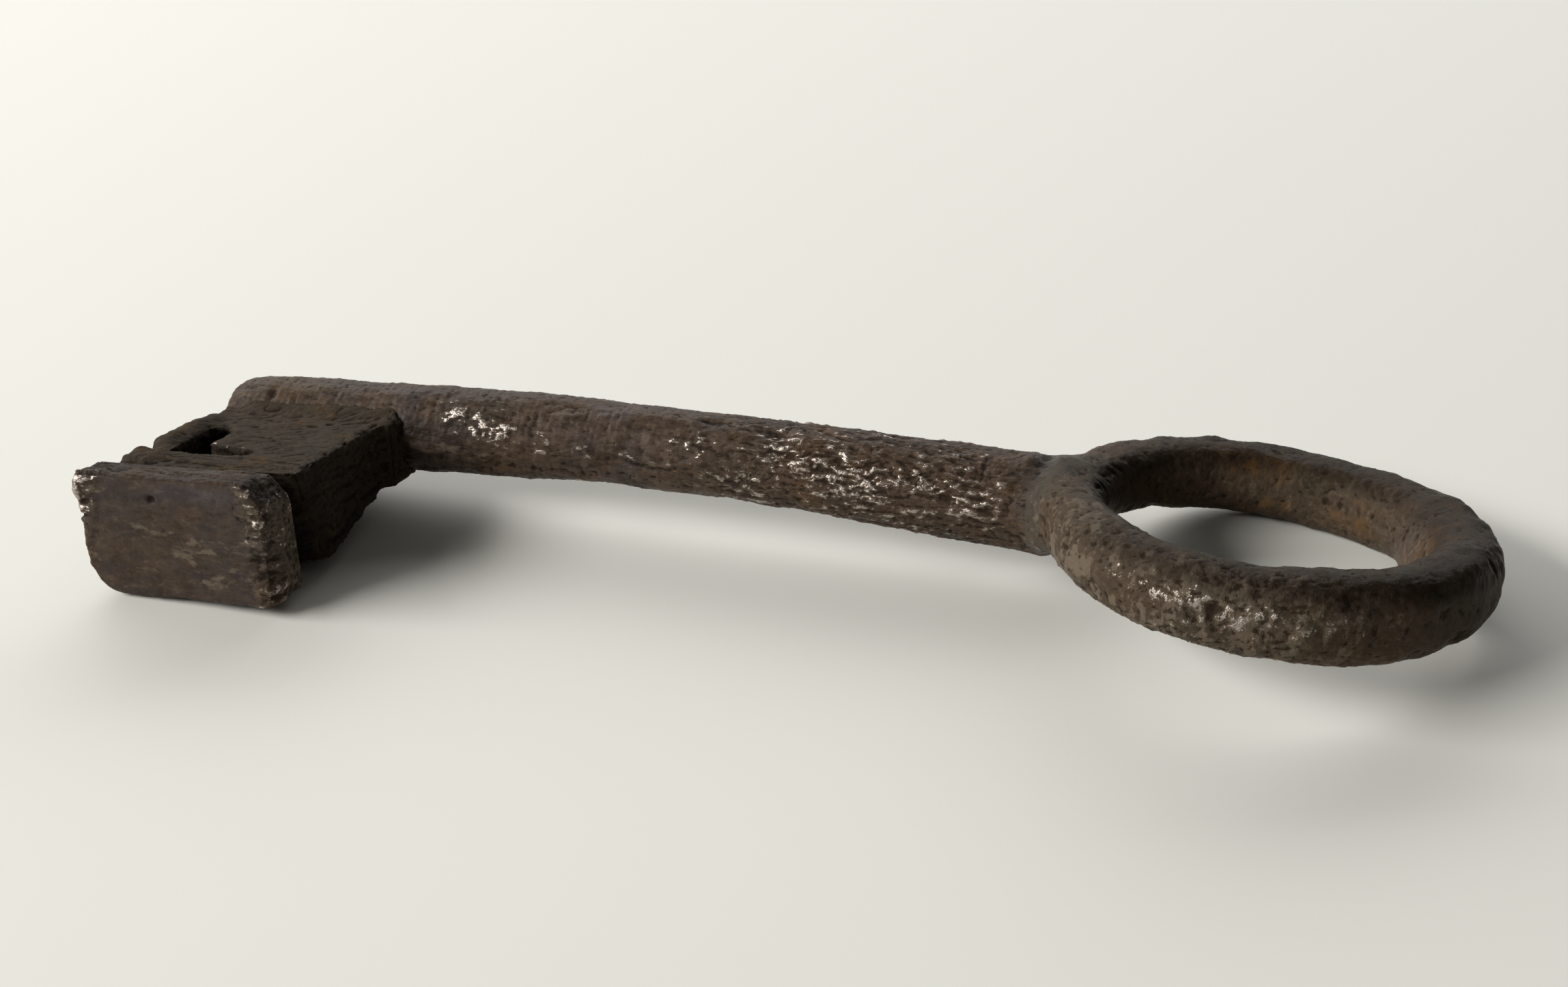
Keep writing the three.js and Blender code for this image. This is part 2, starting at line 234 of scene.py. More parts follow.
def pits(points: Array, size: Size, share: float, seed: int) -> Array:
    """Round rust pits: 1 at a pit's middle and 0 outside it, in a share of the cells."""
    distance, mark = nearest_seed(points, size, seed)
    radius = PIT_RADIUS + PIT_SPREAD * mark / share
    bowl = np.clip(1.0 - (distance / radius) ** 2, 0.0, 1.0)
    return np.where(mark < share, bowl, 0.0)


def ramp(value: Array, low: float, high: float) -> Array:
    """Smooth step: 0 at low, 1 at high, with a level start and end."""
    part = np.clip((value - low) / (high - low), 0.0, 1.0)
    return part * part * (3.0 - 2.0 * part)


def bump_at(value: Array, centre: float, width: float) -> Array:
    """Bell curve: 1 at the centre, and 0.37 one width away from it."""
    return np.exp(-(((value - centre) / width) ** 2))


@dataclass(frozen=True)
class Dent:
    """A hollow with a raised rim round it, or a boss where its depth is below zero."""

    place: Triple
    width: float | Triple
    depth: float
    rim: float = 0.0

    def height(self, points: Array) -> Array:
        """Height at the points: a round-bottomed bell, and a rim a little outside its width."""
        away = np.linalg.norm((points - np.array(self.place)) / np.asarray(self.width, float), axis=1)
        return self.rim * bump_at(away, RIM_PLACE, RIM_WIDTH) - self.depth * np.exp(-away ** 3)


def near(points: Array, places: Sequence[Triple], width: float) -> Array:
    """How near the points are to the nearest of some places: 1 there, and 0.37 a width away."""
    away = [np.linalg.norm(points - np.array(place), axis=1) for place in places]
    return bump_at(reduce(np.minimum, away), 0.0, width)


def dented(points: Array, dents: Sequence[Dent]) -> Array:
    """Sum of the heights of several dents."""
    return sum((dent.height(points) for dent in dents), np.zeros(len(points)))


# Outlines and fields of distances


def trace(start: tuple[float, float], moves: Sequence[tuple[float, ...]], steps: int = 7) -> Array:
    """Corner points of an outline.

    A curve from a through b's pull to c is (1 - k) squared times a, plus 2 k (1 - k) times b, plus
    k squared times c, for k from 0 to 1.

    Args:
        start: first corner.
        moves: each is an end point for a straight side, or a pulling point and an end point.
        steps: sides that a curve is cut into.

    Returns:
        Corners, shape (n, 2).
    """
    corners = [np.array(start, float)]
    for move in moves:
        end = np.array(move[-2:], float)
        if len(move) == 2:
            corners.append(end)
            continue
        first, pull = corners[-1], np.array(move[:2], float)
        k = np.linspace(0.0, 1.0, steps + 1)[1:, None]
        corners.extend((1 - k) ** 2 * first + 2 * k * (1 - k) * pull + k * k * end)
    return np.array(corners)


def outline_distance(corners: Array, across: Array, up: Array) -> Array:
    """Signed distance from a closed outline.

    It is the distance to the nearest side, and below zero inside by the even-odd count of the
    sides that a line to the left crosses.

    Args:
        corners: the outline, shape (n, 2).
        across: first coordinates of the points.
        up: second coordinates of the points.

    Returns:
        Distances in the points' shape.
    """
    nearest = np.full(across.shape, 99.0)
    inside = np.zeros(across.shape, bool)
    for (ax, ay), (bx, by) in zip(corners, np.roll(corners, -1, axis=0)):
        length = max((bx - ax) ** 2 + (by - ay) ** 2, TINY)
        along = np.clip(((across - ax) * (bx - ax) + (up - ay) * (by - ay)) / length, 0.0, 1.0)
        away = np.hypot(across - ax - along * (bx - ax), up - ay - along * (by - ay))
        nearest = np.minimum(nearest, away)
        if by != ay:
            crosses = (ay > up) != (by > up)
            inside ^= crosses & (across < ax + (up - ay) * (bx - ax) / (by - ay))
    return np.where(inside, -nearest, nearest)


def in_common(fields: Sequence[Array], radius: float) -> Array:
    """Distance to what several solids have in common, with its outer edges rounded.

    Each field is grown by the radius; outside, the distance is the root of the summed squares of
    the parts above zero, and inside it is the highest field; the radius is then taken off again.
    """
    grown = [field + radius for field in fields]
    outside = np.sqrt(sum(np.maximum(field, 0.0) ** 2 for field in grown))
    return np.minimum(reduce(np.maximum, grown), 0.0) + outside - radius


# Meshes from arrays


def grid_quads(rows: int, columns: int, ring_rows: bool) -> Array:
    """Corner numbers of the quads of a grid that closes round its columns.

    Args:
        rows: points along the path.
        columns: points round the section.
        ring_rows: whether the last row joins the first one too.

    Returns:
        Corner numbers, shape (quads, 4).
    """
    row = np.arange(rows if ring_rows else rows - 1)[:, None]
    column = np.arange(columns)[None, :]
    next_row = (row + 1) % rows
    next_column = (column + 1) % columns
    corners = [row * columns + column, next_row * columns + column,
               next_row * columns + next_column, row * columns + next_column]
    return np.stack([np.broadcast_to(c, corners[0].shape) for c in corners], axis=-1).reshape(-1, 4)


def cap_triangles(row_start: int, columns: int, pole: int, at_end: bool) -> Array:
    """Corner numbers of the fan that closes a grid's first or last row to its pole.

    Args:
        row_start: number of the row's first point.
        columns: points in the row.
        pole: number of the pole.
        at_end: whether the row is the path's last one, where the fan runs the other way round.

    Returns:
        Corner numbers, shape (columns, 3).
    """
    column = np.arange(columns)
    pair = [row_start + column, row_start + (column + 1) % columns]
    if at_end:
        pair.reverse()
    return np.stack([*pair, np.full(columns, pole)], axis=-1)


def vertex_normals(points: Array, quads: Array, triangles: Array) -> Array:
    """Normals of length 1 at the vertices.

    Each is the sum of the cross products of the faces round it: of a quad's diagonals, or of two
    sides of a triangle.

    Args:
        points: places, shape (n, 3).
        quads: corner numbers, shape (quads, 4).
        triangles: corner numbers, shape (triangles, 3).

    Returns:
        Normals, shape (n, 3).
    """
    normals = np.zeros_like(points)
    for faces, (a, b, c, d) in ((quads, (0, 2, 1, 3)), (triangles, (0, 1, 0, 2))):
        one, two = (points[faces[:, end]] - points[faces[:, start]] for start, end in ((a, b), (c, d)))
        cross = np.cross(one, two)
        for corner, axis in product(range(faces.shape[1]), range(3)):
            normals[:, axis] += np.bincount(faces[:, corner], cross[:, axis], len(points))
    return normals / np.maximum(np.linalg.norm(normals, axis=1, keepdims=True), TINY)


@dataclass
class Skin:
    """A closed surface in the key's own axes, with the values that its finish reads."""

    points: Array
    quads: Array
    triangles: Array
    marks: dict[str, Array]

    def normals(self) -> Array:
        """Outward normals at the points."""
        return vertex_normals(self.points, self.quads, self.triangles)

    def evened(self, values: Array, times: int) -> Array:
        """Values spread over the surface: each becomes the mean of the faces round it, many times.

        Args:
            values: one number or one row for each point.
            times: how often they are spread.

        Returns:
            The spread values, in the same shape.
        """
        count = np.bincount(self.quads.ravel(), minlength=len(self.points))
        columns = values.reshape(len(values), -1).copy()
        for _ in range(times):
            face = columns[self.quads].mean(axis=1)
            for column in range(columns.shape[1]):
                total = np.zeros(len(self.points))
                for corner in range(4):
                    total += np.bincount(self.quads[:, corner], face[:, column], len(self.points))
                mean = total / np.maximum(count, 1)
                columns[:, column] = np.where(count > 0, mean, columns[:, column])
        return columns.reshape(values.shape)

    def bulge(self, times: int) -> Array:
        """How far each point stands out of the evened surface, in millimetres."""
        inwards = self.evened(self.points, times) - self.points
        return -np.einsum("ij,ij->i", inwards, self.normals())

    def sharp_edges(self) -> Array:
        """1 where the surface has a sharp outer edge, falling to 0 beside it."""
        return np.clip(self.bulge(EDGE_ROUNDS) / EDGE_HEIGHT, 0.0, 1.0)

    def pushed(self, height: Array) -> "Skin":
        """The same surface with each point moved along its normal by a height in millimetres."""
        moved = self.points + self.normals() * height[:, None]
        return Skin(moved, self.quads, self.triangles, self.marks)

    def finished(self, height: Array, marks: dict[str, Array]) -> "Skin":
        """Pushes the relief out and marks its crests (1) and hollows (-1) for the finish."""
        relief = self.pushed(height)
        relief.marks = dict(marks, crest=np.clip(relief.bulge(CREST_ROUNDS) / CREST_HEIGHT, -1.0, 1.0))
        return relief


def mesh_object(name: str, skin: Skin, place: Callable[[Array], Array]) -> bpy.types.Object:
    """Puts a skin into a new object at the origin.

    Args:
        name: the object's name.
        skin: the surface.
        place: turns points in the key's axes into points in the frame, in metres.

    Returns:
        The object, smooth-shaded, with one point attribute for each of the skin's marks. Where its
        relief would sink into the table, it is flattened against it.
    """
    mesh = bpy.data.meshes.new(name)
    points = place(skin.points)
    points[:, 2] = np.maximum(points[:, 2], 0.0)
    mesh.vertices.add(len(points))
    mesh.vertices.foreach_set("co", points.astype(np.float32).ravel())
    corners = np.concatenate([skin.quads.ravel(), skin.triangles.ravel()]).astype(np.int32)
    sizes = np.concatenate([np.full(len(skin.quads), 4), np.full(len(skin.triangles), 3)])
    mesh.loops.add(len(corners))
    mesh.loops.foreach_set("vertex_index", corners)
    mesh.polygons.add(len(sizes))
    mesh.polygons.foreach_set("loop_start", np.concatenate([[0], np.cumsum(sizes)[:-1]]).astype(np.int32))
    mesh.polygons.foreach_set("use_smooth", np.ones(len(sizes), bool))
    mesh.update(calc_edges=True)
    mesh.validate()
    for mark, values in skin.marks.items():
        layer = mesh.attributes.new(mark, "FLOAT", "POINT")
        layer.data.foreach_set("value", values.astype(np.float32))
    piece = bpy.data.objects.new(name, mesh)
    bpy.context.scene.collection.objects.link(piece)
    return piece


def crossing_points(values: Array, low: Sequence[float], pitch: float) -> tuple[Array, Array]:
    """One point for each grid cell that the surface crosses: the mean of the crossings on its edges.

    Args:
        values: distances at the grid's corners.
        low: place of the grid's first corner.
        pitch: width of a cell.

    Returns:
        The points, and each cell's point number, which is -1 where it has none.
    """
    shape = np.array(values.shape) - 1
    total = np.zeros((*shape, 3))
    count = np.zeros(tuple(shape))
    origin = np.stack(np.meshgrid(*[np.arange(n) for n in shape], indexing="ij"), axis=-1)
    for axis in range(3):
        others = [i for i in range(3) if i != axis]
        for pair in product((0, 1), repeat=2):
            start = np.zeros(3, int)
            start[others] = pair
            end = start.copy()
            end[axis] = 1
            a, b = (values[tuple(slice(k[i], k[i] + shape[i]) for i in range(3))] for k in (start, end))
            crossed = (a < 0.0) != (b < 0.0)
            share = np.where(crossed, a / np.where(crossed, a - b, 1.0), 0.0)
            corner = (origin + start).astype(float)
            corner[..., axis] += share
            total += np.where(crossed[..., None], corner, 0.0)
            count += crossed
    used = count > 0
    number = np.full(tuple(shape), -1)
    number[used] = np.arange(used.sum())
    return total[used] / count[used][:, None] * pitch + np.array(low), number


def crossing_quads(inside: Array, number: Array) -> Array:
    """One quad for each grid edge that the surface crosses, between the four cells round that edge.

    Args:
        inside: whether each of the grid's corners lies inside.
        number: each cell's point number.

    Returns:
        Corner numbers, shape (quads, 4), with the faces outwards.
    """
    shape = number.shape
    quads = []
    for axis in range(3):
        one, two = (axis + 1) % 3, (axis + 2) % 3
        index = np.argwhere(inside != np.roll(inside, -1, axis=axis))
        keep = (index[:, axis] < shape[axis]) & (index[:, one] > 0) & (index[:, two] > 0)
        keep &= (index[:, one] < shape[one]) & (index[:, two] < shape[two])
        index = index[keep]
        around = []
        for shift_one, shift_two in ((-1, -1), (0, -1), (0, 0), (-1, 0)):
            cell = index.copy()
            cell[:, one] += shift_one
            cell[:, two] += shift_two
            around.append(number[tuple(cell.T)])
        quad = np.stack(around, axis=-1)
        turned = ~inside[tuple(index.T)]
        quad[turned] = quad[turned][:, ::-1]
        quads.append(quad)
    return np.concatenate(quads)


def surface_net(field: Callable[[Array, Array, Array], Array], low: Sequence[float],
                high: Sequence[float], pitch: float) -> Skin:
    """Skins the places where a field of distances changes sign.

    Args:
        field: distance at x, y and z, below zero inside.
        low: lowest corner of the box that is searched.
        high: highest corner of it.
        pitch: width of a cell.

    Returns:
        The skin, with its faces outwards.
    """
    axes = [np.arange(low[i], high[i] + pitch, pitch) for i in range(3)]
    values = field(*np.meshgrid(*axes, indexing="ij", sparse=True))
    points, number = crossing_points(values, low, pitch)
    return Skin(points, crossing_quads(values < 0.0, number), NO_TRIANGLES, {})


def turn_about(axis: int, angle: float) -> Array:
    """Matrix of a right-handed turn about X (0), Y (1) or Z (2).

    Args:
        axis: number of the axis.
        angle: the turn in radians.

    Returns:
        The matrix, for columns on its right.
    """
    one, two = (axis + 1) % 3, (axis + 2) % 3
    matrix = np.eye(3)
    matrix[one, one] = matrix[two, two] = math.cos(angle)
    matrix[two, one] = math.sin(angle)
    matrix[one, two] = -math.sin(angle)
    return matrix


# The key's own axes in the frame


@dataclass(frozen=True)
class RingForm:
    """The ring bow as the solid has it: an oval of a bar with rounded edges, tilted a little."""

    outer_radius: float = 21.35
    oval: float = 0.45
    bar_width: float = 6.5
    bar_height: float = 7.2
    edge_radius: float = 2.75
    widen: float = 0.45
    swell_away: float = 0.7
    swell_front: float = 0.5
    tilt_x: float = math.radians(0.7)
    tilt_y: float = math.radians(2.15)

    @property
    def reach(self) -> float:
        """Radius of the bar's centre line."""
        return self.outer_radius - self.bar_width / 2

    @property
    def squeeze(self) -> Array:
        """How much the oval shortens X and lengthens Y."""
        change = self.oval / (2 * self.outer_radius)
        return np.array([1.0 - change, 1.0 + change, 1.0])

    def turn(self) -> Array:
        """Tilt of the ring against the stem: about X, then about Y."""
        return turn_about(1, self.tilt_y) @ turn_about(0, self.tilt_x)

    def underside_normal(self) -> Array:
        """Outward normal of the bar's lower face, which slopes as the bar grows away and frontwards."""
        slope = np.array([-self.swell_away, self.swell_front, 0.0]) / (2 * self.reach)
        level = slope / self.squeeze - np.array([0.0, 0.0, 1.0])
        return self.turn() @ (level / np.linalg.norm(level))

    def surface(self, rows: int = 360, columns: int = 96) -> Array:
        """Points on the solid's surface: a rounded rectangle carried round, swollen and tilted.

        Args:
            rows: places round the ring.
            columns: places round the bar.

        Returns:
            Places, shape (rows * columns, 3).
        """
        around = np.linspace(0.0, 2 * math.pi, rows, endpoint=False)[:, None]
        section = np.linspace(0.0, 2 * math.pi, columns, endpoint=False)[None, :]
        flat_width = self.bar_width / 2 - self.edge_radius
        flat_height = self.bar_height / 2 - self.edge_radius
        offset = np.sign(np.cos(section)) * flat_width + self.edge_radius * np.cos(section)
        up = np.sign(np.sin(section)) * flat_height + self.edge_radius * np.sin(section)
        x = (self.reach + offset) * np.cos(around)
        y = (self.reach + offset) * np.sin(around)
        widened = 1.0 + offset * self.widen * x / (self.reach ** 2 * self.bar_width)
        swell = 1.0 + (self.swell_away * x - self.swell_front * y) / (self.reach * self.bar_height)
        points = np.stack([x * widened, y * widened, up * swell], axis=-1).reshape(-1, 3)
        return (points * self.squeeze) @ self.turn().T


@dataclass(frozen=True)
class StemLine:
    """The stem's centre line and radius between the ring's edge and the nose."""

    ring_radius: float = 21.35
    length: float = 85.5
    neck_radius: float = 4.72
    middle_radius: float = 4.18
    middle_place: float = 36.0
    seat_radius: float = 4.42
    bit_length: float = 18.4
    bit_inset: float = 0.35
    rise: float = 0.11
    side: float = 0.25
    sway: float = 0.45
    bend_start: float = 23.3
    bend_length: float = 35.0
    bend_angle: float = math.radians(4.6)
    shoulder: tuple[float, float] = (-23.0, -20.3)
    shoulder_radius: float = 3.85
    root: tuple[float, float] = (-20.2, -17.8)
    root_radius: float = 2.2

    @property
    def tip_x(self) -> float:
        """Place of the nose's end."""
        return -self.ring_radius - self.length

    @property
    def seat_x(self) -> float:
        """Place of the middle of the bit."""
        return self.tip_x + self.bit_inset + self.bit_length / 2

    def along(self, x: Array) -> Array:
        """Distance from the ring's edge."""
        return np.maximum(-self.ring_radius - np.asarray(x, float), 0.0)

    def centre(self, x: Array) -> Array:
        """Centre line: level, then bent down along an arc, then straight; it sways a little."""
        place = self.along(x)
        bent = np.clip(place - self.bend_start, 0.0, self.bend_length)
        beyond = np.maximum(place - self.bend_start - self.bend_length, 0.0)
        drop = math.tan(self.bend_angle) * (bent ** 2 / (2 * self.bend_length) + beyond)
        return np.stack([x, self.side + self.sway * place / self.length, self.rise - drop], axis=-1)

    def waist(self, x: Array) -> Array:
        """Radius of the bar that the stem is: slimmest in the middle."""
        place = self.along(x)
        waist = self.middle_radius + (self.neck_radius - self.middle_radius) * (
            1.0 - ramp(place, 0.0, self.middle_place))
        return waist + (self.seat_radius - self.middle_radius) * ramp(
            place, self.middle_place, self.length - self.bit_length)

    def radius(self, x: Array) -> Array:
        """The same bar, narrowed where it is let into the ring."""
        return self.waist(x) + (self.root_radius - self.waist(x)) * ramp(x, *self.root)

    def shoulder_depth(self, x: Array, height: Array) -> Array:
        """How far the stem's top is let down at the shoulder; height is -1 below to 1 on top."""
        depth = (self.neck_radius - self.shoulder_radius) * ramp(x, *self.shoulder)
        return depth * ramp(height, 0.2, 0.95)

    def on_surface(self, x: float, degrees: float) -> Triple:
        """Place on the stem at a distance along it, and an angle from +Y towards +Z."""
        turn = math.radians(degrees)
        ray = np.array([0.0, math.cos(turn), math.sin(turn)])
        place = self.centre(np.array([x]))[0] + float(self.radius(np.array([x]))[0]) * ray
        return tuple(place)


@dataclass(frozen=True)
class BitSeat:
    """How the bit stands on the stem: it rolls with the stem's bend, droops, and sits a little low."""

    line: StemLine = StemLine()
    droop: float = math.radians(6.8)
    roll: float = math.radians(4.8)
    drop: float = 0.23

    def turn(self) -> Array:
        """Matrix from the bit's axes to the key's."""
        return turn_about(0, self.droop) @ turn_about(1, -self.roll)

    def seated(self, points: Array) -> Array:
        """Points in the bit's axes, turned about the middle of the seat and set on the stem."""
        middle = np.array([self.line.seat_x, 0.0, 0.0])
        seat = self.line.centre(np.array([self.line.seat_x]))[0] - np.array([0.0, 0.0, self.drop])
        return (points - middle) @ self.turn().T + seat


@dataclass(frozen=True)
class KeyAxes:
    """Where the key's own axes lie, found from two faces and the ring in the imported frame."""

    ring: RingForm = RingForm()
    seat: BitSeat = BitSeat()

    @staticmethod
    def face_normal(mount: str) -> Array:
        """Outward normal of one of the record's flat faces."""
        found = [m for m in frame["record"]["mounts"] if m["name"] == mount]
        return np.array(found[0]["axis"], float)

    @staticmethod
    def triad(first: Array, second: Array) -> Array:
        """Three square directions, as columns, from two directions."""
        side = np.cross(first, second)
        side = side / np.linalg.norm(side)
        first = first / np.linalg.norm(first)
        return np.stack([first, side, np.cross(first, side)], axis=-1)

    def turn(self) -> Array:
        """Matrix from the key's axes to the frame's, from two directions known in both."""
        own_foot = self.seat.turn() @ np.array([0.0, -1.0, 0.0])
        own = self.triad(own_foot, self.ring.underside_normal())
        lying = self.triad(self.face_normal("foot_face"), self.face_normal("ring_underside"))
        return lying @ own.T

    def placer(self) -> Callable[[Array], Array]:
        """The function that takes points in the key's axes to metres in the frame.

        Returns:
            The function. It turns the points and lays the ring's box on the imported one.
        """
        low, high = (np.array(corner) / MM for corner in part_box("bow_ring"))
        turn = self.turn()
        solid = self.ring.surface() @ turn.T
        shift = (low + high) / 2 - (solid.min(axis=0) + solid.max(axis=0)) / 2
        LOG.info("key's axes at %s mm, X towards %s", shift.round(3), turn[:, 0].round(4))
        return lambda points: (points @ turn.T + shift) * MM


# The four pieces


@dataclass(frozen=True)
class Wave:
    """A size that changes round the ring: a mean, and cosines and sines of the angle and of twice it."""

    mean: float
    cos_one: float
    sin_one: float
    cos_two: float
    sin_two: float

    def at(self, around: Array) -> Array:
        """The size at angles round the ring."""
        once = self.mean + self.cos_one * np.cos(around) + self.sin_one * np.sin(around)
        return once + self.cos_two * np.cos(2 * around) + self.sin_two * np.sin(2 * around)


@dataclass(frozen=True)
class RingBar:
    """The bar that the bow is bent from, before its relief."""

    form: RingForm = RingForm()
    squareness: float = 2.55
    width: Wave = Wave(6.52, 0.33, -0.03, -0.23, 0.09)
    height: Wave = Wave(7.18, 0.71, -0.50, -0.13, -0.06)
    lift: Wave = Wave(0.0, 0.0, 0.0, 0.16, -0.11)
    oval: float = 0.23
    oval_turn: float = 0.18

    def sizes(self, around: Array) -> tuple[Array, Array, Array, Array]:
        """The bar at angles round the ring: radius of its centre line, width, height and lift."""
        reach = self.form.reach - self.oval * np.cos(2 * around - self.oval_turn)
        return reach, self.width.at(around), self.height.at(around), self.lift.at(around)

    def place(self, degrees: float, section: float) -> Triple:
        """Place on the bar at an angle round the ring, and an angle round the section from outside.

        Args:
            degrees: angle round the ring, from +X towards +Y.
            section: angle round the bar, from outside over its top, in degrees.

        Returns:
            The place in the key's axes.
        """
        around, turn = math.radians(degrees), math.radians(section)
        reach, width, height, lift = (float(v) for v in self.sizes(np.array(around)))
        radius = reach + math.cos(turn) * width / 2
        level = np.array([radius * math.cos(around), radius * math.sin(around),
                          math.sin(turn) * height / 2 + lift])
        return tuple(self.form.turn() @ level)

    def distance(self, points: Array) -> Array:
        """How far points lie outside the bar: its section's own norm less 1, times its size.

        Args:
            points: places in the key's axes, shape (n, 3).

        Returns:
            Distances, below zero inside the bar.
        """
        level = points @ self.form.turn()
        reach, width, height, lift = self.sizes(np.arctan2(level[:, 1], level[:, 0]))
        across = np.abs(np.hypot(level[:, 0], level[:, 1]) - reach) / (width / 2)
        up = np.abs(level[:, 2] - lift) / (height / 2)
        norm = (across ** self.squareness + up ** self.squareness) ** (1.0 / self.squareness)
        return (norm - 1.0) * (width + height) / 4


@dataclass(frozen=True)
class Neck:
    """The forge weld that makes one smooth surface of stem and ring."""

    line: StemLine = StemLine()
    bar: RingBar = RingBar()
    blend: float = 4.0
    cap_x: float = -19.6
    cap_round: float = 1.2
    covered: float = 0.22
    fill_limit: float = 1.15
    hidden: tuple[float, float] = (0.6, 1.4)
    begins: tuple[float, float] = (-9.0, -6.0)
    rounds: int = 6

    def stem(self, points: Array) -> Array:
        """How far points lie outside the stem, which ends in a rounded cap inside the bar."""
        side = points - self.line.centre(points[:, 0])
        away = np.hypot(side[:, 1], side[:, 2])
        height = side[:, 2] / np.maximum(away, 0.1)
        radius = self.line.waist(points[:, 0]) - self.line.shoulder_depth(points[:, 0], height)
        return in_common([away - radius, points[:, 0] - self.cap_x], self.cap_round)

    def union(self, points: Array) -> Array:
        """Distance to both as one: the lower one, less a part that is greatest where they are alike."""
        stem, bar = self.stem(points), self.bar.distance(points)
        alike = np.clip(1.0 - np.abs(stem - bar) / self.blend, 0.0, 1.0)
        return np.minimum(stem, bar) - alike ** 2 * self.blend / 4

    def fused(self, skin: Skin) -> Skin:
        """Moves points near the crease out to the union's surface, by up to its deepest fill.

        Each round adds what the moved point still lacks. Points deep inside the other piece, which
        no one sees, and the stem's before the weld begins stay where they are.

        Args:
            skin: the stem's or the ring's skin.

        Returns:
            The skin that flows into the other one.
        """
        normals, points = skin.normals(), skin.points
        deepest = self.fill_limit * self.blend / 4
        side = points - self.line.centre(points[:, 0])
        inside = self.line.waist(points[:, 0]) - np.hypot(side[:, 1], side[:, 2])
        share = 1.0 - ramp(np.minimum(inside, -self.bar.distance(points)), *self.hidden)
        share *= ramp(points[:, 0] - self.cap_x, *self.begins)
        out = np.zeros(len(points))
        for _ in range(self.rounds):
            out += np.maximum(-self.union(points + normals * out[:, None]), 0.0)
            out = np.minimum(out, deepest)
        return skin.pushed(out * share)

    def welded(self, points: Array, height: Array, nearer: float) -> tuple[Array, Array]:
        """One relief for both skins near the weld, and each sunk where the other one shows.

        Args:
            points: the fused skin.
            height: its own relief.
            nearer: 1 for the stem's skin and -1 for the ring's.

        Returns:
            The relief, and how near the weld each point is, from 0 to 1.
        """
        stem, bar = self.stem(points), self.bar.distance(points)
        close = 1.0 - ramp(np.maximum(stem, bar), 0.6, 3.0)
        flakes = fractal_noise(points @ turn_about(2, 0.6).T, (0.6, 1.6, 0.8), 3, 44)
        weld = 0.10 * fractal_noise(points, 2.6, 3, 45) + 0.05 * flakes
        weld += 0.04 * fractal_noise(points, 0.6, 3, 65)
        sunk = self.covered * ramp(nearer * (stem - bar), 0.1, 0.9)
        return height + (weld - height) * close - sunk, close


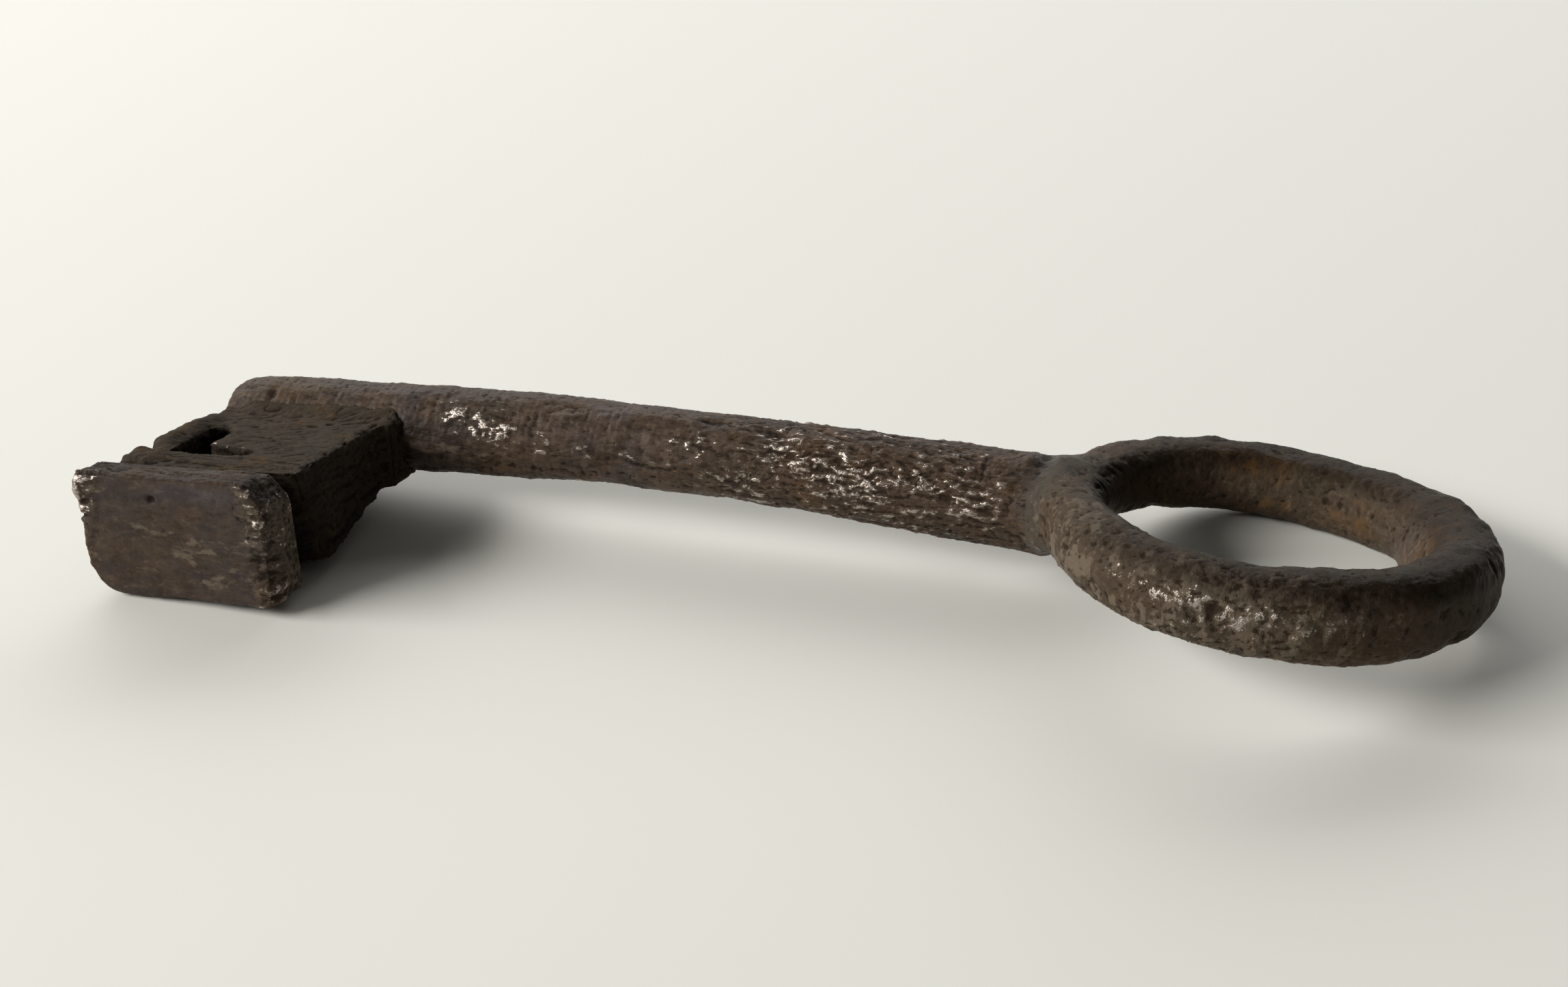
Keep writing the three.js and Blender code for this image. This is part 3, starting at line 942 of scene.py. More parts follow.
@dataclass(frozen=True)
class RingBow:
    """The bar bent round into the bow."""

    bar: RingBar = RingBar()
    neck: Neck = Neck()
    rows: int = 640
    columns: int = 152

    def skin(self) -> Skin:
        """Carries a superellipse section round an oval, tilts the ring, welds and forges it.

        Returns:
            The ring's skin.
        """
        around = np.linspace(0.0, 2 * math.pi, self.rows, endpoint=False)[:, None]
        section = np.linspace(0.0, 2 * math.pi, self.columns, endpoint=False)[None, :]
        reach, width, height, lift = self.bar.sizes(around)
        power = 2.0 / self.bar.squareness
        across = np.sign(np.cos(section)) * np.abs(np.cos(section)) ** power
        up = np.sign(np.sin(section)) * np.abs(np.sin(section)) ** power
        radius = reach + across * width / 2
        level = np.stack([radius * np.cos(around), radius * np.sin(around), up * height / 2 + lift], axis=-1)
        tilted = level.reshape(-1, 3) @ self.bar.form.turn().T
        quads = grid_quads(self.rows, self.columns, ring_rows=True)
        welded = self.neck.fused(Skin(tilted, quads, NO_TRIANGLES, {}))
        degrees = np.degrees(np.arctan2(level[..., 1], level[..., 0])).ravel()
        full = np.zeros(level.shape[:2])
        return self.forged(welded, degrees, (up + full).ravel(), (across + full).ravel())

    def dents(self) -> list[Dent]:
        """Lumps, a blister and notches, where the photograph shows them.

        Returns:
            The ring's dents.
        """
        on = self.bar.place
        return [
            Dent(on(-90, -2), (0.9, 0.8, 0.7), -0.14),
            Dent(on(-101, 18), (1.6, 1.0, 1.2), -0.20),
            Dent(on(-110, 8), (1.3, 1.0, 0.7), -0.20),
            Dent(on(-118, 20), 1.2, -0.20),
            Dent(on(-97, 4), (0.7, 1.0, 1.1), 0.22),
            Dent(on(-78, 26), (1.6, 0.8, 0.5), 0.20),
            Dent(on(-66, 38), (1.4, 1.0, 0.9), 0.24),
            Dent(on(-14, 40), (0.5, 0.30, 1.2), 0.40),
            Dent(on(-8, 20), (0.7, 0.6, 1.6), 0.25),
            Dent(on(-30, -40), (2.6, 1.6, 1.2), 0.45),
            Dent(on(-46, -48), (2.0, 1.4, 1.0), 0.35),
            Dent(on(18, -150), (4.2, 4.2, 2.6), -1.25),
            Dent(on(30, 75), (2.2, 1.8, 1.0), -0.30),
            Dent(on(112, 60), (1.6, 1.2, 0.8), -0.18),
        ]

    def relief(self, p: Array, front: Array, flaked: Array) -> Array:
        """Hammered facets, scale, lumps and lace, all strongest in front, and flakes by the weld.

        Args:
            p: points of the bar.
            front: how near each is to the ring's front, from 0 to 1.
            flaked: how near each is to the flaked place left of it.

        Returns:
            Heights in millimetres.
        """
        bent = wandering(p, 2.6, 0.6, 9)
        facets = fractal_noise(p, 5.5, 2, 12)
        scale = terraces(fractal_noise(bent, 3.0, 4, 22), 0.40, 5.0)
        lumps = fractal_noise(bent, (1.5, 1.5, 1.1), 3, 27)
        lace = crests(wandering(p, 1.8, 0.9, 10), 1.7, 0.30, 3, 37)
        flakes = fractal_noise(p @ turn_about(2, 0.5).T, (0.7, 1.6, 0.7), 2, 42)
        grit = fractal_noise(p, 0.6, 3, 62)
        height = 0.17 * facets + (0.12 + 0.04 * front) * scale + (0.06 + 0.06 * front) * lumps
        height += (0.02 + 0.08 * front) * (lace - 0.3)
        height += 0.08 * flaked * flakes + (0.03 + 0.03 * front) * grit
        return height + dented(p, self.dents())

    def rusted(self, p: Array, inner: Array) -> Array:
        """Share of rust: ochre patches on the inner side, most at the top of its back and low down.

        Args:
            p: points of the ring.
            inner: how far each faces the hole, from 0 to 1.

        Returns:
            Shares, not yet clipped.
        """
        on = self.bar.place
        top = [on(106, 128), on(101, 132), on(96, 130), on(91, 132)]
        low = [on(120, -150), on(112, -152), on(103, -155), on(94, -158), on(85, -160), on(76, -162),
               on(67, -165), on(58, -165)]
        spots = 1.8 * near(p, top, 1.6)
        spots += 0.45 * near(p, low, 1.3)
        ochre = ramp(fractal_noise(p, (3.0, 3.0, 2.0), 3, 82), -0.1, 0.5)
        rust = inner * (0.10 + 0.9 * spots) * (0.3 + 0.7 * ochre)
        return rust + 0.10 * ramp(fractal_noise(p, 6.0, 3, 83), 0.2, 0.7)

    def rubbed(self, p: Array) -> Array:
        """Share of bare metal: a bright patch in front, fainter ones beside it and three inside."""
        on = self.bar.place
        bright = [on(-113, 12), on(-107, 20), on(-101, 20), on(-97, 8), on(-90, -2), on(-93, 5)]
        faint = [on(-84, 14), on(-77, 6), on(-70, 12), on(-62, -2), on(-54, -6), on(-88, 20), on(-122, 24),
                 on(26, 150), on(78, 150), on(66, 158)]
        return 0.85 * near(p, bright, 1.3) + 0.6 * near(p, faint, 1.3)

    def forged(self, skin: Skin, degrees: Array, up: Array, out: Array) -> Skin:
        """The ring with its relief, notches where it meets the stem inside, and its finish's marks, among
        them painted shade and a painted sheen.

        Args:
            skin: the bar, welded to the stem.
            degrees: angle round the ring at each point.
            up: place over the bar's height, from -1 to 1.
            out: place over the bar's width, from -1 inside to 1 outside.

        Returns:
            The forged ring.
        """
        p = skin.points
        turned = np.abs(degrees)
        front = bump_at(degrees, -100.0, 34.0) * ramp(out, -0.2, 0.5)
        flaked = bump_at(degrees, -138.0, 20.0)
        inner = ramp(-out, 0.2, 0.8)
        height, close = self.neck.welded(p, self.relief(p, front, flaked), -1.0)
        teeth = bump_at(turned, 180.0, 26.0) * bump_at(up, 0.85, 0.22) * ramp(-out, 0.3, 0.8)
        height -= 0.30 * teeth * ramp(fractal_noise(p, (1.8, 0.5, 1.4), 2, 43), -0.1, 0.3)
        mottle = ramp(fractal_noise(p @ turn_about(2, -0.4).T, (0.8, 1.0, 2.0), 3, 46), -0.1, 0.5)
        # Painted shade: darker on the inner wall at the stem's side of the hole, on the top of the bar away
        # from the stem, and on the outer wall at the front right.
        shade_and_dark_tone = inner * bump_at(turned, 180.0, 52.0)
        shade_and_dark_tone += 0.80 * ramp(up, 0.25, 0.80) * (1.0 - bump_at(turned, 168.0, 40.0))
        shade_and_dark_tone += 0.55 * bump_at(degrees, -22.0, 36.0) * ramp(out, -0.2, 0.5)
        tan = (0.50 + 0.50 * mottle) * np.maximum(flaked, front) + 0.40 * mottle * (1.0 - shade_and_dark_tone * 0.5)
        # The sheen mark is a painted sheen: a pale patch on the inner wall at about 25 degrees round the
        # ring.
        marks = {"rust": np.clip(self.rusted(p, inner), 0.0, 1.0), "worn": np.clip(self.rubbed(p), 0.0, 1.0),
                 "sheen_and_cool_tone": 0.3 * bump_at(degrees, 25.0, 12.0) * inner, "grit": 0.30 + 0.70 * front,
                 "weld": close, "tan": tan, "shade_and_dark_tone": np.clip(shade_and_dark_tone, 0.0, 1.0)}
        return skin.finished(height, marks)


@dataclass(frozen=True)
class StemZones:
    """How far each point of the stem belongs to its zones, from 0 to 1.

    The bow half is rough, the lower side is layered, and lace and gleam lie in small patches.
    """

    rough: Array
    low_side: Array
    laced: Array
    gleam: Array


@dataclass(frozen=True)
class Stem:
    """The round stem with its nose, from the middle of the ring's bar to the tip."""

    line: StemLine = StemLine()
    neck: Neck = Neck()
    body_rows: int = 512
    nose_rows: int = 34
    end_rows: int = 14
    columns: int = 176
    inner_end: float = -17.9
    nose_round: float = 5.0
    nose_radius: float = 3.1

    def profile(self) -> tuple[Array, Array]:
        """Places and radii of the rows: the body, the nose as a quarter of an ellipse, the flat end.

        Returns:
            Places along X, and the radius at each.
        """
        start = self.line.tip_x + self.nose_round
        body = np.linspace(self.inner_end, start, self.body_rows)
        turn = np.linspace(0.0, math.pi / 2, self.nose_rows + 1)[1:]
        nose = start - self.nose_round * np.sin(turn)
        shrink = self.nose_radius + (self.line.seat_radius - self.nose_radius) * np.cos(turn)
        end = self.nose_radius * np.linspace(1.0, 0.0, self.end_rows + 2)[1:-1]
        x = np.concatenate([body, nose, np.full(self.end_rows, self.line.tip_x)])
        return x, np.concatenate([self.line.radius(body), shrink, end])

    def skin(self) -> Skin:
        """Sweeps a circle along the centre line and closes the grid by a pole at each end.

        Returns:
            The stem's skin.
        """
        x, radius = self.profile()
        angle = np.linspace(0.0, 2 * math.pi, self.columns, endpoint=False)
        centre = self.line.centre(x)
        spread = radius[:, None] - self.line.shoulder_depth(x[:, None], np.sin(angle)[None, :])
        points = np.repeat(centre[:, None, :], self.columns, axis=1)
        points[..., 1] += spread * np.cos(angle)
        points[..., 2] += spread * np.sin(angle)
        flat = np.concatenate([points.reshape(-1, 3), centre[[0, -1]]])
        last = (len(x) - 1) * self.columns
        triangles = np.concatenate([cap_triangles(0, self.columns, len(flat) - 2, at_end=False),
                                    cap_triangles(last, self.columns, len(flat) - 1, at_end=True)])
        quads = grid_quads(len(x), self.columns, ring_rows=False)
        return self.forged(self.neck.fused(Skin(flat, quads, triangles, {})))

    def dents(self) -> list[Dent]:
        """Pits, lumps and one cut across, where the photograph shows them.

        Returns:
            The stem's dents.
        """
        on = self.line.on_surface
        return [
            Dent(on(-25.6, -178), (1.0, 0.8, 0.6), 0.20, 0.08),
            Dent(on(-21.0, 84), (0.8, 1.3, 1.0), 0.60),
            Dent(on(-22.3, 104), (0.8, 0.8, 0.6), -0.30),
            Dent(on(-26.6, 132), (0.20, 1.4, 1.4), 0.13),
            Dent(on(-45.6, 150), (0.7, 0.8, 0.8), 0.28),
            Dent(on(-42.4, 160), (1.2, 0.7, 0.6), 0.16),
            Dent(on(-48.0, 120), (2.0, 0.8, 0.6), 0.26),
            Dent(on(-53.5, 112), (1.8, 0.8, 0.6), 0.24),
            Dent(on(-101.5, 129), (0.45, 0.8, 0.8), 0.26),
            Dent(on(-72.0, 150), (0.35, 2.0, 2.0), 0.10),
            Dent(on(-70.0, 118), (2.4, 0.8, 0.8), 0.16),
            Dent(on(-63.0, 140), (1.2, 1.2, 1.6), -0.14),
            Dent(on(-88.2, 168), (1.6, 1.2, 1.4), 0.22),
        ]

    def zones(self, p: Array, upward: Array) -> StemZones:
        """Finds the zones by place along the stem, by height, and by patches that the photograph shows.

        Args:
            p: points of the stem.
            upward: how far each faces up, from -1 to 1.

        Returns:
            The zones.
        """
        on = self.line.on_surface
        x = p[:, 0]
        lace = [on(-43.5, 158), on(-40.5, 165), on(-37.5, 172), on(-46.5, 150)]
        faint_lace = [on(-31.0, 165), on(-26.0, 178), on(-28.5, 172), on(-33.0, 150), on(-28.0, 140),
                      on(-55.0, 150)]
        gleam = near(p, [on(-80.5, 150), on(-78.0, 154), on(-75.5, 156)], 1.9)
        gleam += 0.7 * near(p, [on(-71.0, 170), on(-66.5, 178), on(-62.0, -178), on(-57.5, 148)], 1.1)
        return StemZones(
            rough=ramp(x, -61.0, -45.0) * (1.0 - 0.5 * ramp(x, -26.5, -23.5)),
            low_side=ramp(-upward, -0.18, 0.15),
            laced=np.maximum(near(p, lace, 2.3), 0.8 * near(p, faint_lace, 1.5)), gleam=gleam)

    def relief(self, p: Array, zone: StemZones) -> Array:
        """Heights along the stem.

        The rough half has long wandering ridges and grooves, thick scale and pits, the smooth half
        has fine lines round it, and long layers run along the lower side.

        Args:
            p: points of the stem.
            zone: the zones that they lie in.

        Returns:
            Heights in millimetres.
        """
        rough = zone.rough
        bent = wandering(p, 3.0, 0.8, 7)
        facets = fractal_noise(p, (8.0, 4.0, 4.0), 2, 11)
        ridges = crests(bent, (6.5, 1.1, 1.1), 0.40, 3, 31)
        grooves = crests(wandering(p, 2.0, 0.5, 19), (4.5, 0.75, 0.75), 0.20, 2, 32)
        lace = crests(wandering(p, 1.2, 0.8, 8), (1.3, 0.8, 0.8), 0.30, 3, 36)
        scale = terraces(fractal_noise(bent, (4.0, 1.8, 1.8), 4, 21), 0.40, 6.0)
        layers = terraces(fractal_noise(bent, (16.0, 1.7, 1.7), 3, 26), 0.36, 5.0)
        lines = fractal_noise(p, (0.40, 2.6, 2.6), 3, 51)
        grit = fractal_noise(p, (0.8, 0.5, 0.5), 3, 61)
        height = 0.12 * facets + (0.11 + 0.07 * rough) * scale
        height += 0.11 * rough * (1.0 - 0.5 * zone.low_side) * (ridges - 0.3)
        height -= 0.11 * (0.15 + 0.85 * rough) * grooves
        height += 0.07 * zone.laced * (lace - 0.3)
        height += 0.14 * zone.low_side * layers * ramp(p[:, 0], -86.0, -70.0)
        height += 0.05 * zone.gleam * fractal_noise(p, 0.55, 2, 96)
        height += 0.045 * (1.0 - rough) * (1.0 - 0.8 * np.clip(zone.gleam, 0.0, 1.0)) * lines
        height += (0.045 + 0.035 * rough) * grit
        height -= 0.04 * pits(p, 1.4, 0.35, 71) * rough
        return height + dented(p, self.dents())

    def forged(self, skin: Skin) -> Skin:
        """The stem with its relief and its finish's marks.

        Bare metal shows in the lace, the gleaming patches, on the side towards the bit and along the
        lower layers. A cool sheen is painted in two bands on the side towards the bit, and a shadow is
        painted on the stem's lower side just past the bit.

        Args:
            skin: the stem, welded to the ring.

        Returns:
            The forged stem.
        """
        p = skin.points
        x = p[:, 0]
        sideways = p - self.line.centre(x)
        upward = sideways[:, 2] / np.maximum(np.hypot(sideways[:, 1], sideways[:, 2]), 0.1)
        zone = self.zones(p, upward)
        height, close = self.neck.welded(p, self.relief(p, zone), 1.0)
        # Painted sheen: a cool colour in two bands, on the side towards the bit.
        sheen_and_cool_tone = np.clip(bump_at(x, -86.3, 2.3) + 0.8 * bump_at(x, -64.0, 4.5), 0.0, 1.0)
        sheen_and_cool_tone *= np.clip(0.55 + 0.9 * fractal_noise(p, 4.0, 3, 86), 0.0, 1.0)
        sheen_and_cool_tone *= ramp(-sideways[:, 1], 0.0, 2.0)
        shown = bump_at(upward, 0.35, 0.5) * ramp(-sideways[:, 1], -1.0, 1.5)
        patches = ramp(fractal_noise(p, (5.0, 2.5, 2.5), 3, 88), -0.1, 0.5)
        worn = 0.9 * zone.laced + 1.15 * zone.gleam + 0.34 * zone.rough * shown * patches
        worn += (0.30 + 0.30 * bump_at(x, -64.0, 12.0)) * zone.low_side * patches
        # Painted shadow of the bit: the dark mark lies on the stem's lower side, just past the bit's bow
        # edge.
        bow_edge = self.line.tip_x + self.line.bit_inset + self.line.bit_length
        marks = {"rust": 0.25 * ramp(fractal_noise(p, 7.0, 3, 81), 0.1, 0.7) * (1.0 - sheen_and_cool_tone),
                 "shade_and_dark_tone": bump_at(x, bow_edge + 1.5, 6.0) * ramp(-upward, -0.70, -0.20),
                 "sheen_and_cool_tone": 0.6 * sheen_and_cool_tone, "worn": np.clip(worn, 0.0, 1.2) * (1.0 - close), "weld": close,
                 "grit": 0.35 + 0.65 * np.maximum(zone.rough, np.clip(zone.gleam, 0.0, 1.0)),
                 "tan": 0.55 * zone.low_side * patches * (1.0 - 0.5 * zone.rough)}
        return skin.finished(height, marks)


@dataclass(frozen=True)
class BitPlate:
    """The bit's plate with its ward cuts, in the bit's axes: the stem's centre is y = 0."""

    seat: BitSeat = BitSeat()
    reach: float = 22.9
    root_top: float = 2.45
    outer_top: float = 4.35
    root_place: float = 5.1
    root_thickness: float = 6.9
    belly_thickness: float = 10.5
    belly_place: float = 16.8
    flare: float = 1.2
    flare_length: float = 3.6
    core: float = 1.6
    prong_width: float = 2.2
    prong_bulge: float = 0.6
    prong_lane: float = 2.7
    prong_lane_start: float = 9.0
    prong_lane_round: float = 1.0
    prong_tip_slope: float = 1.6
    prong_tip_gap: float = 0.5
    strip_width: float = 4.6
    strip_slope: float = 0.9
    strip_lane: float = 3.5
    strip_lane_end: float = 1.7
    strip_lane_length: float = 10.5
    strip_overhang: float = 0.4
    wedge_length: float = 11.0
    wedge_above: float = 0.9
    wedge_below: float = 4.2
    edge_round: float = 0.4
    contact: float = 0.17
    fillet: float = 0.9
    pitch: float = 0.145

    @property
    def tip_x(self) -> float:
        """Place of the bit's tip edge."""
        return self.seat.line.tip_x + self.seat.line.bit_inset

    @property
    def bow_x(self) -> float:
        """Place of the bit's bow edge."""
        return self.tip_x + self.seat.line.bit_length

    @property
    def bottom(self) -> float:
        """Height of the plate's outer underside."""
        return self.outer_top - self.belly_thickness

    def plan(self) -> Array:
        """Outline from above: prong, its lane, the strip's lane, the strip and the flare.

        Returns:
            Corners in X and Y, shape (n, 2).
        """
        strip = -self.reach + self.strip_width
        lane_out = self.tip_x + self.prong_width
        lane_in = lane_out + self.prong_lane
        lane_end = self.tip_x + self.strip_lane_length
        prong_end = strip + self.prong_tip_gap
        return trace((self.tip_x, -self.core), [
            (self.tip_x, -self.prong_lane_start),
            (self.tip_x - 2 * self.prong_bulge, (prong_end - self.prong_lane_start) / 2,
             self.tip_x, prong_end + self.prong_tip_slope),
            (self.tip_x, prong_end, lane_out, prong_end),
            (lane_out, -self.prong_lane_start - self.prong_lane_round),
            ((lane_out + lane_in) / 2, -self.prong_lane_start + self.prong_lane_round,
             lane_in, -self.prong_lane_start - self.prong_lane_round),
            (lane_in, strip + self.strip_lane),
            (lane_end, strip + self.strip_slope + self.strip_lane_end),
            (lane_end + self.strip_lane_end / 2, strip + self.strip_slope + self.strip_lane_end / 2,
             lane_end, strip + self.strip_slope),
            (self.tip_x - self.strip_overhang, strip),
            (self.tip_x - self.strip_overhang, -self.reach),
            (self.bow_x, -self.reach),
            (self.bow_x, -self.root_place - self.flare_length),
            (self.bow_x, -self.root_place, self.bow_x + self.flare, -self.root_place),
            (self.bow_x + self.flare, -self.core),
        ])

    def section(self) -> Array:
        """Outline from the end: level top, and an underside that bellies down and runs level.

        Returns:
            Corners in Y and Z, shape (n, 2).
        """
        slope = (self.belly_place - self.root_place) / (self.reach - self.root_place)
        belly = self.root_top + (self.outer_top - self.root_top) * slope - self.belly_thickness
        root_bottom = self.root_top - self.root_thickness
        return np.array([
            (-self.core, self.root_top), (-self.root_place, self.root_top), (-self.reach, self.outer_top),
            (-self.reach, self.bottom), (-self.belly_place, belly), (-self.root_place, root_bottom),
            (-self.core, root_bottom),
        ])

    def wedge(self, x: Array, y: Array, z: Array) -> Array:
        """Distance out of the wedge cut: below zero towards the stem from the wedge's slanting wall."""
        level = (z - self.bottom) / (self.outer_top - self.bottom)
        mouth = np.maximum(self.wedge_below + (self.wedge_above - self.wedge_below) * level, 0.2)
        share = (x - (self.bow_x - self.wedge_length)) / self.wedge_length
        return (-self.reach + share * mouth - y) / np.hypot(1.0, mouth / self.wedge_length)

    def distance(self, x: Array, y: Array, z: Array) -> Array:
        """What plan, section and wedge have in common, with a fillet against the round stem.

        Args:
            x: places along the stem.
            y: places across it.
            z: heights.

        Returns:
            Distances, below zero inside.
        """
        inland = ramp(x, self.tip_x + 1.0, self.tip_x + 4.0)
        plan = outline_distance(self.plan(), *np.broadcast_arrays(x, y))
        section = outline_distance(self.section(), *np.broadcast_arrays(y, z))
        body = in_common([plan, section, self.wedge(x, y, z)], self.edge_round)
        stem = np.hypot(y, z - self.seat.drop) - self.seat.line.seat_radius
        return body - self.fillet * inland * np.exp(-np.maximum(stem, 0.0) / 0.8)

    def skin(self) -> Skin:
        """Nets the distance field, forges the skin and seats it on the stem."""
        low = (self.tip_x - 2.2, -self.reach - 1.0, self.bottom - 1.0)
        high = (self.bow_x + 2.6, 0.4, self.outer_top + 1.0)
        skin = self.forged(surface_net(self.distance, low, high, self.pitch))
        skin.points = self.seat.seated(skin.points)
        return skin

    def dents(self) -> list[Dent]:
        """Small slanting pits on the top, and lumps on the prong and on the strip's tip.

        Returns:
            The plate's dents.
        """
        return [
            Dent((-99.8, -8.6, 2.9), (0.5, 0.35, 0.6), 0.22),
            Dent((-94.2, -7.2, 2.7), (0.7, 0.35, 0.6), 0.20),
            Dent((-92.6, -6.4, 2.6), (0.45, 0.35, 0.6), 0.28),
            Dent((-97.0, -11.6, 3.2), (1.2, 0.3, 0.6), 0.16),
            Dent((-105.9, -8.0, 2.9), (1.5, 2.2, 1.6), -0.45),
            Dent((-105.9, -11.6, 3.1), (1.4, 2.4, 1.6), -0.60),
            Dent((-106.2, -15.0, 3.3), (1.3, 1.8, 1.6), -0.50),
            Dent((-105.0, -20.4, 4.2), (2.6, 1.6, 1.5), -0.55),
            Dent((-106.6, -19.2, 3.8), (1.0, 0.8, 1.2), -0.35),
        ]

    def relief(self, p: Array, normal: Array, edge: Array) -> Array:
        """Slanting streaks on the top, ledges on the strip, layers on the walls, chipped edges.

        The face that the foot is welded to is left flat, and stands out to meet the foot.

        Args:
            p: points of the plate.
            normal: outward normals there.
            edge: 1 on the sharp edges.

        Returns:
            Heights in millimetres.
        """
        wall = self.wall(normal)
        slanted = p @ turn_about(2, -0.55).T
        facets = fractal_noise(p, 5.0, 2, 13)
        streaks = fractal_noise(slanted, (2.6, 0.45, 1.0), 3, 23)
        furrows = crests(slanted, (3.2, 0.9, 1.5), 0.25, 2, 38)
        layers = terraces(fractal_noise(wandering(p, 2.0, 0.4, 15), (4.0, 4.0, 0.9), 4, 33), 0.32, 4.5)
        ledges = terraces(fractal_noise(wandering(p, 2.5, 0.4, 20), (9.0, 0.9, 2.0), 3, 48), 0.45, 7.0)
        grit = fractal_noise(p, 0.55, 3, 63)
        chips = self.chips(p)
        strip = ramp(-p[:, 1], self.reach - self.strip_width - 0.6, self.reach - self.strip_width + 0.8)
        height = 0.10 * facets + 0.05 * streaks - 0.07 * furrows * (1.0 - wall)
        height += (0.03 + 0.19 * wall) * layers + (0.015 + 0.04 * wall) * grit
        height += 0.16 * strip * (1.0 - wall) * ledges
        height -= edge * (0.02 + 0.14 * chips + 0.34 * self.bow_side(p) * chips)
        height -= 0.05 * pits(p, 1.5, 0.3, 73)
        height += dented(p, self.dents())
        outer = ramp(-normal[:, 1], 0.6, 0.95) * ramp(-p[:, 1], self.reach - 0.7, self.reach - 0.3)
        return height + (self.contact - height) * outer

    @staticmethod
    def wall(normal: Array) -> Array:
        """How upright the surface is, from 0 on the top to 1 on the walls."""
        return 1.0 - ramp(np.abs(normal[:, 2]), 0.5, 0.9)

    @staticmethod
    def chips(p: Array) -> Array:
        """Where the edges are chipped."""
        return ramp(fractal_noise(p, 1.3, 3, 93), -0.15, 0.55)

    def bow_side(self, p: Array) -> Array:
        """How near a point is to the bow edge."""
        return ramp(p[:, 0], self.bow_x - 3.0, self.bow_x - 1.0)

    def forged(self, skin: Skin) -> Skin:
        """The plate with its relief and its finish's marks: rubbed edges, and painted shade on the walls that
        face the bow end and the outer edge, darkest round the slot.

        Args:
            skin: the plate in the bit's axes.

        Returns:
            The forged plate.
        """
        p = skin.points
        normal = skin.normals()
        edge = skin.sharp_edges()
        wall = self.wall(normal)
        worn = near(p, [(-100.9, -14.3, 3.0), (-99.4, -14.9, 3.2), (-97.9, -15.3, 3.2)], 1.0)
        worn += 0.6 * near(p, [(-107.0, -16.0, 2.6), (-106.8, -13.0, 3.6)], 1.3)
        worn += 0.7 * edge * self.bow_side(p) * self.chips(p) * (1.0 - wall)
        # Painted shade: the walls facing the bow end and the outer edge are darkened, most round the slot.
        slot = ramp(-p[:, 1], self.reach - 7.0, self.reach - 4.0)
        marks = {"rust": 0.25 * ramp(fractal_noise(p, 5.0, 3, 84), 0.2, 0.8),
                 "shade_and_dark_tone": (0.60 + 0.40 * slot) * wall * ramp(normal[:, 0] - normal[:, 1], 0.2, 0.7),
                 "sheen_and_cool_tone": np.zeros(len(p)), "grit": 0.3 + 0.6 * wall, "worn": np.clip(worn, 0.0, 1.0),
                 "weld": np.zeros(len(p)), "tan": np.full(len(p), 0.1)}
        return skin.finished(self.relief(p, normal, edge), marks)


@dataclass(frozen=True)
class FootZones:
    """How far each point of the foot belongs to its bow end, both its ends, its top and its face."""

    bow_end: Array
    end: Array
    top: Array
    face: Array


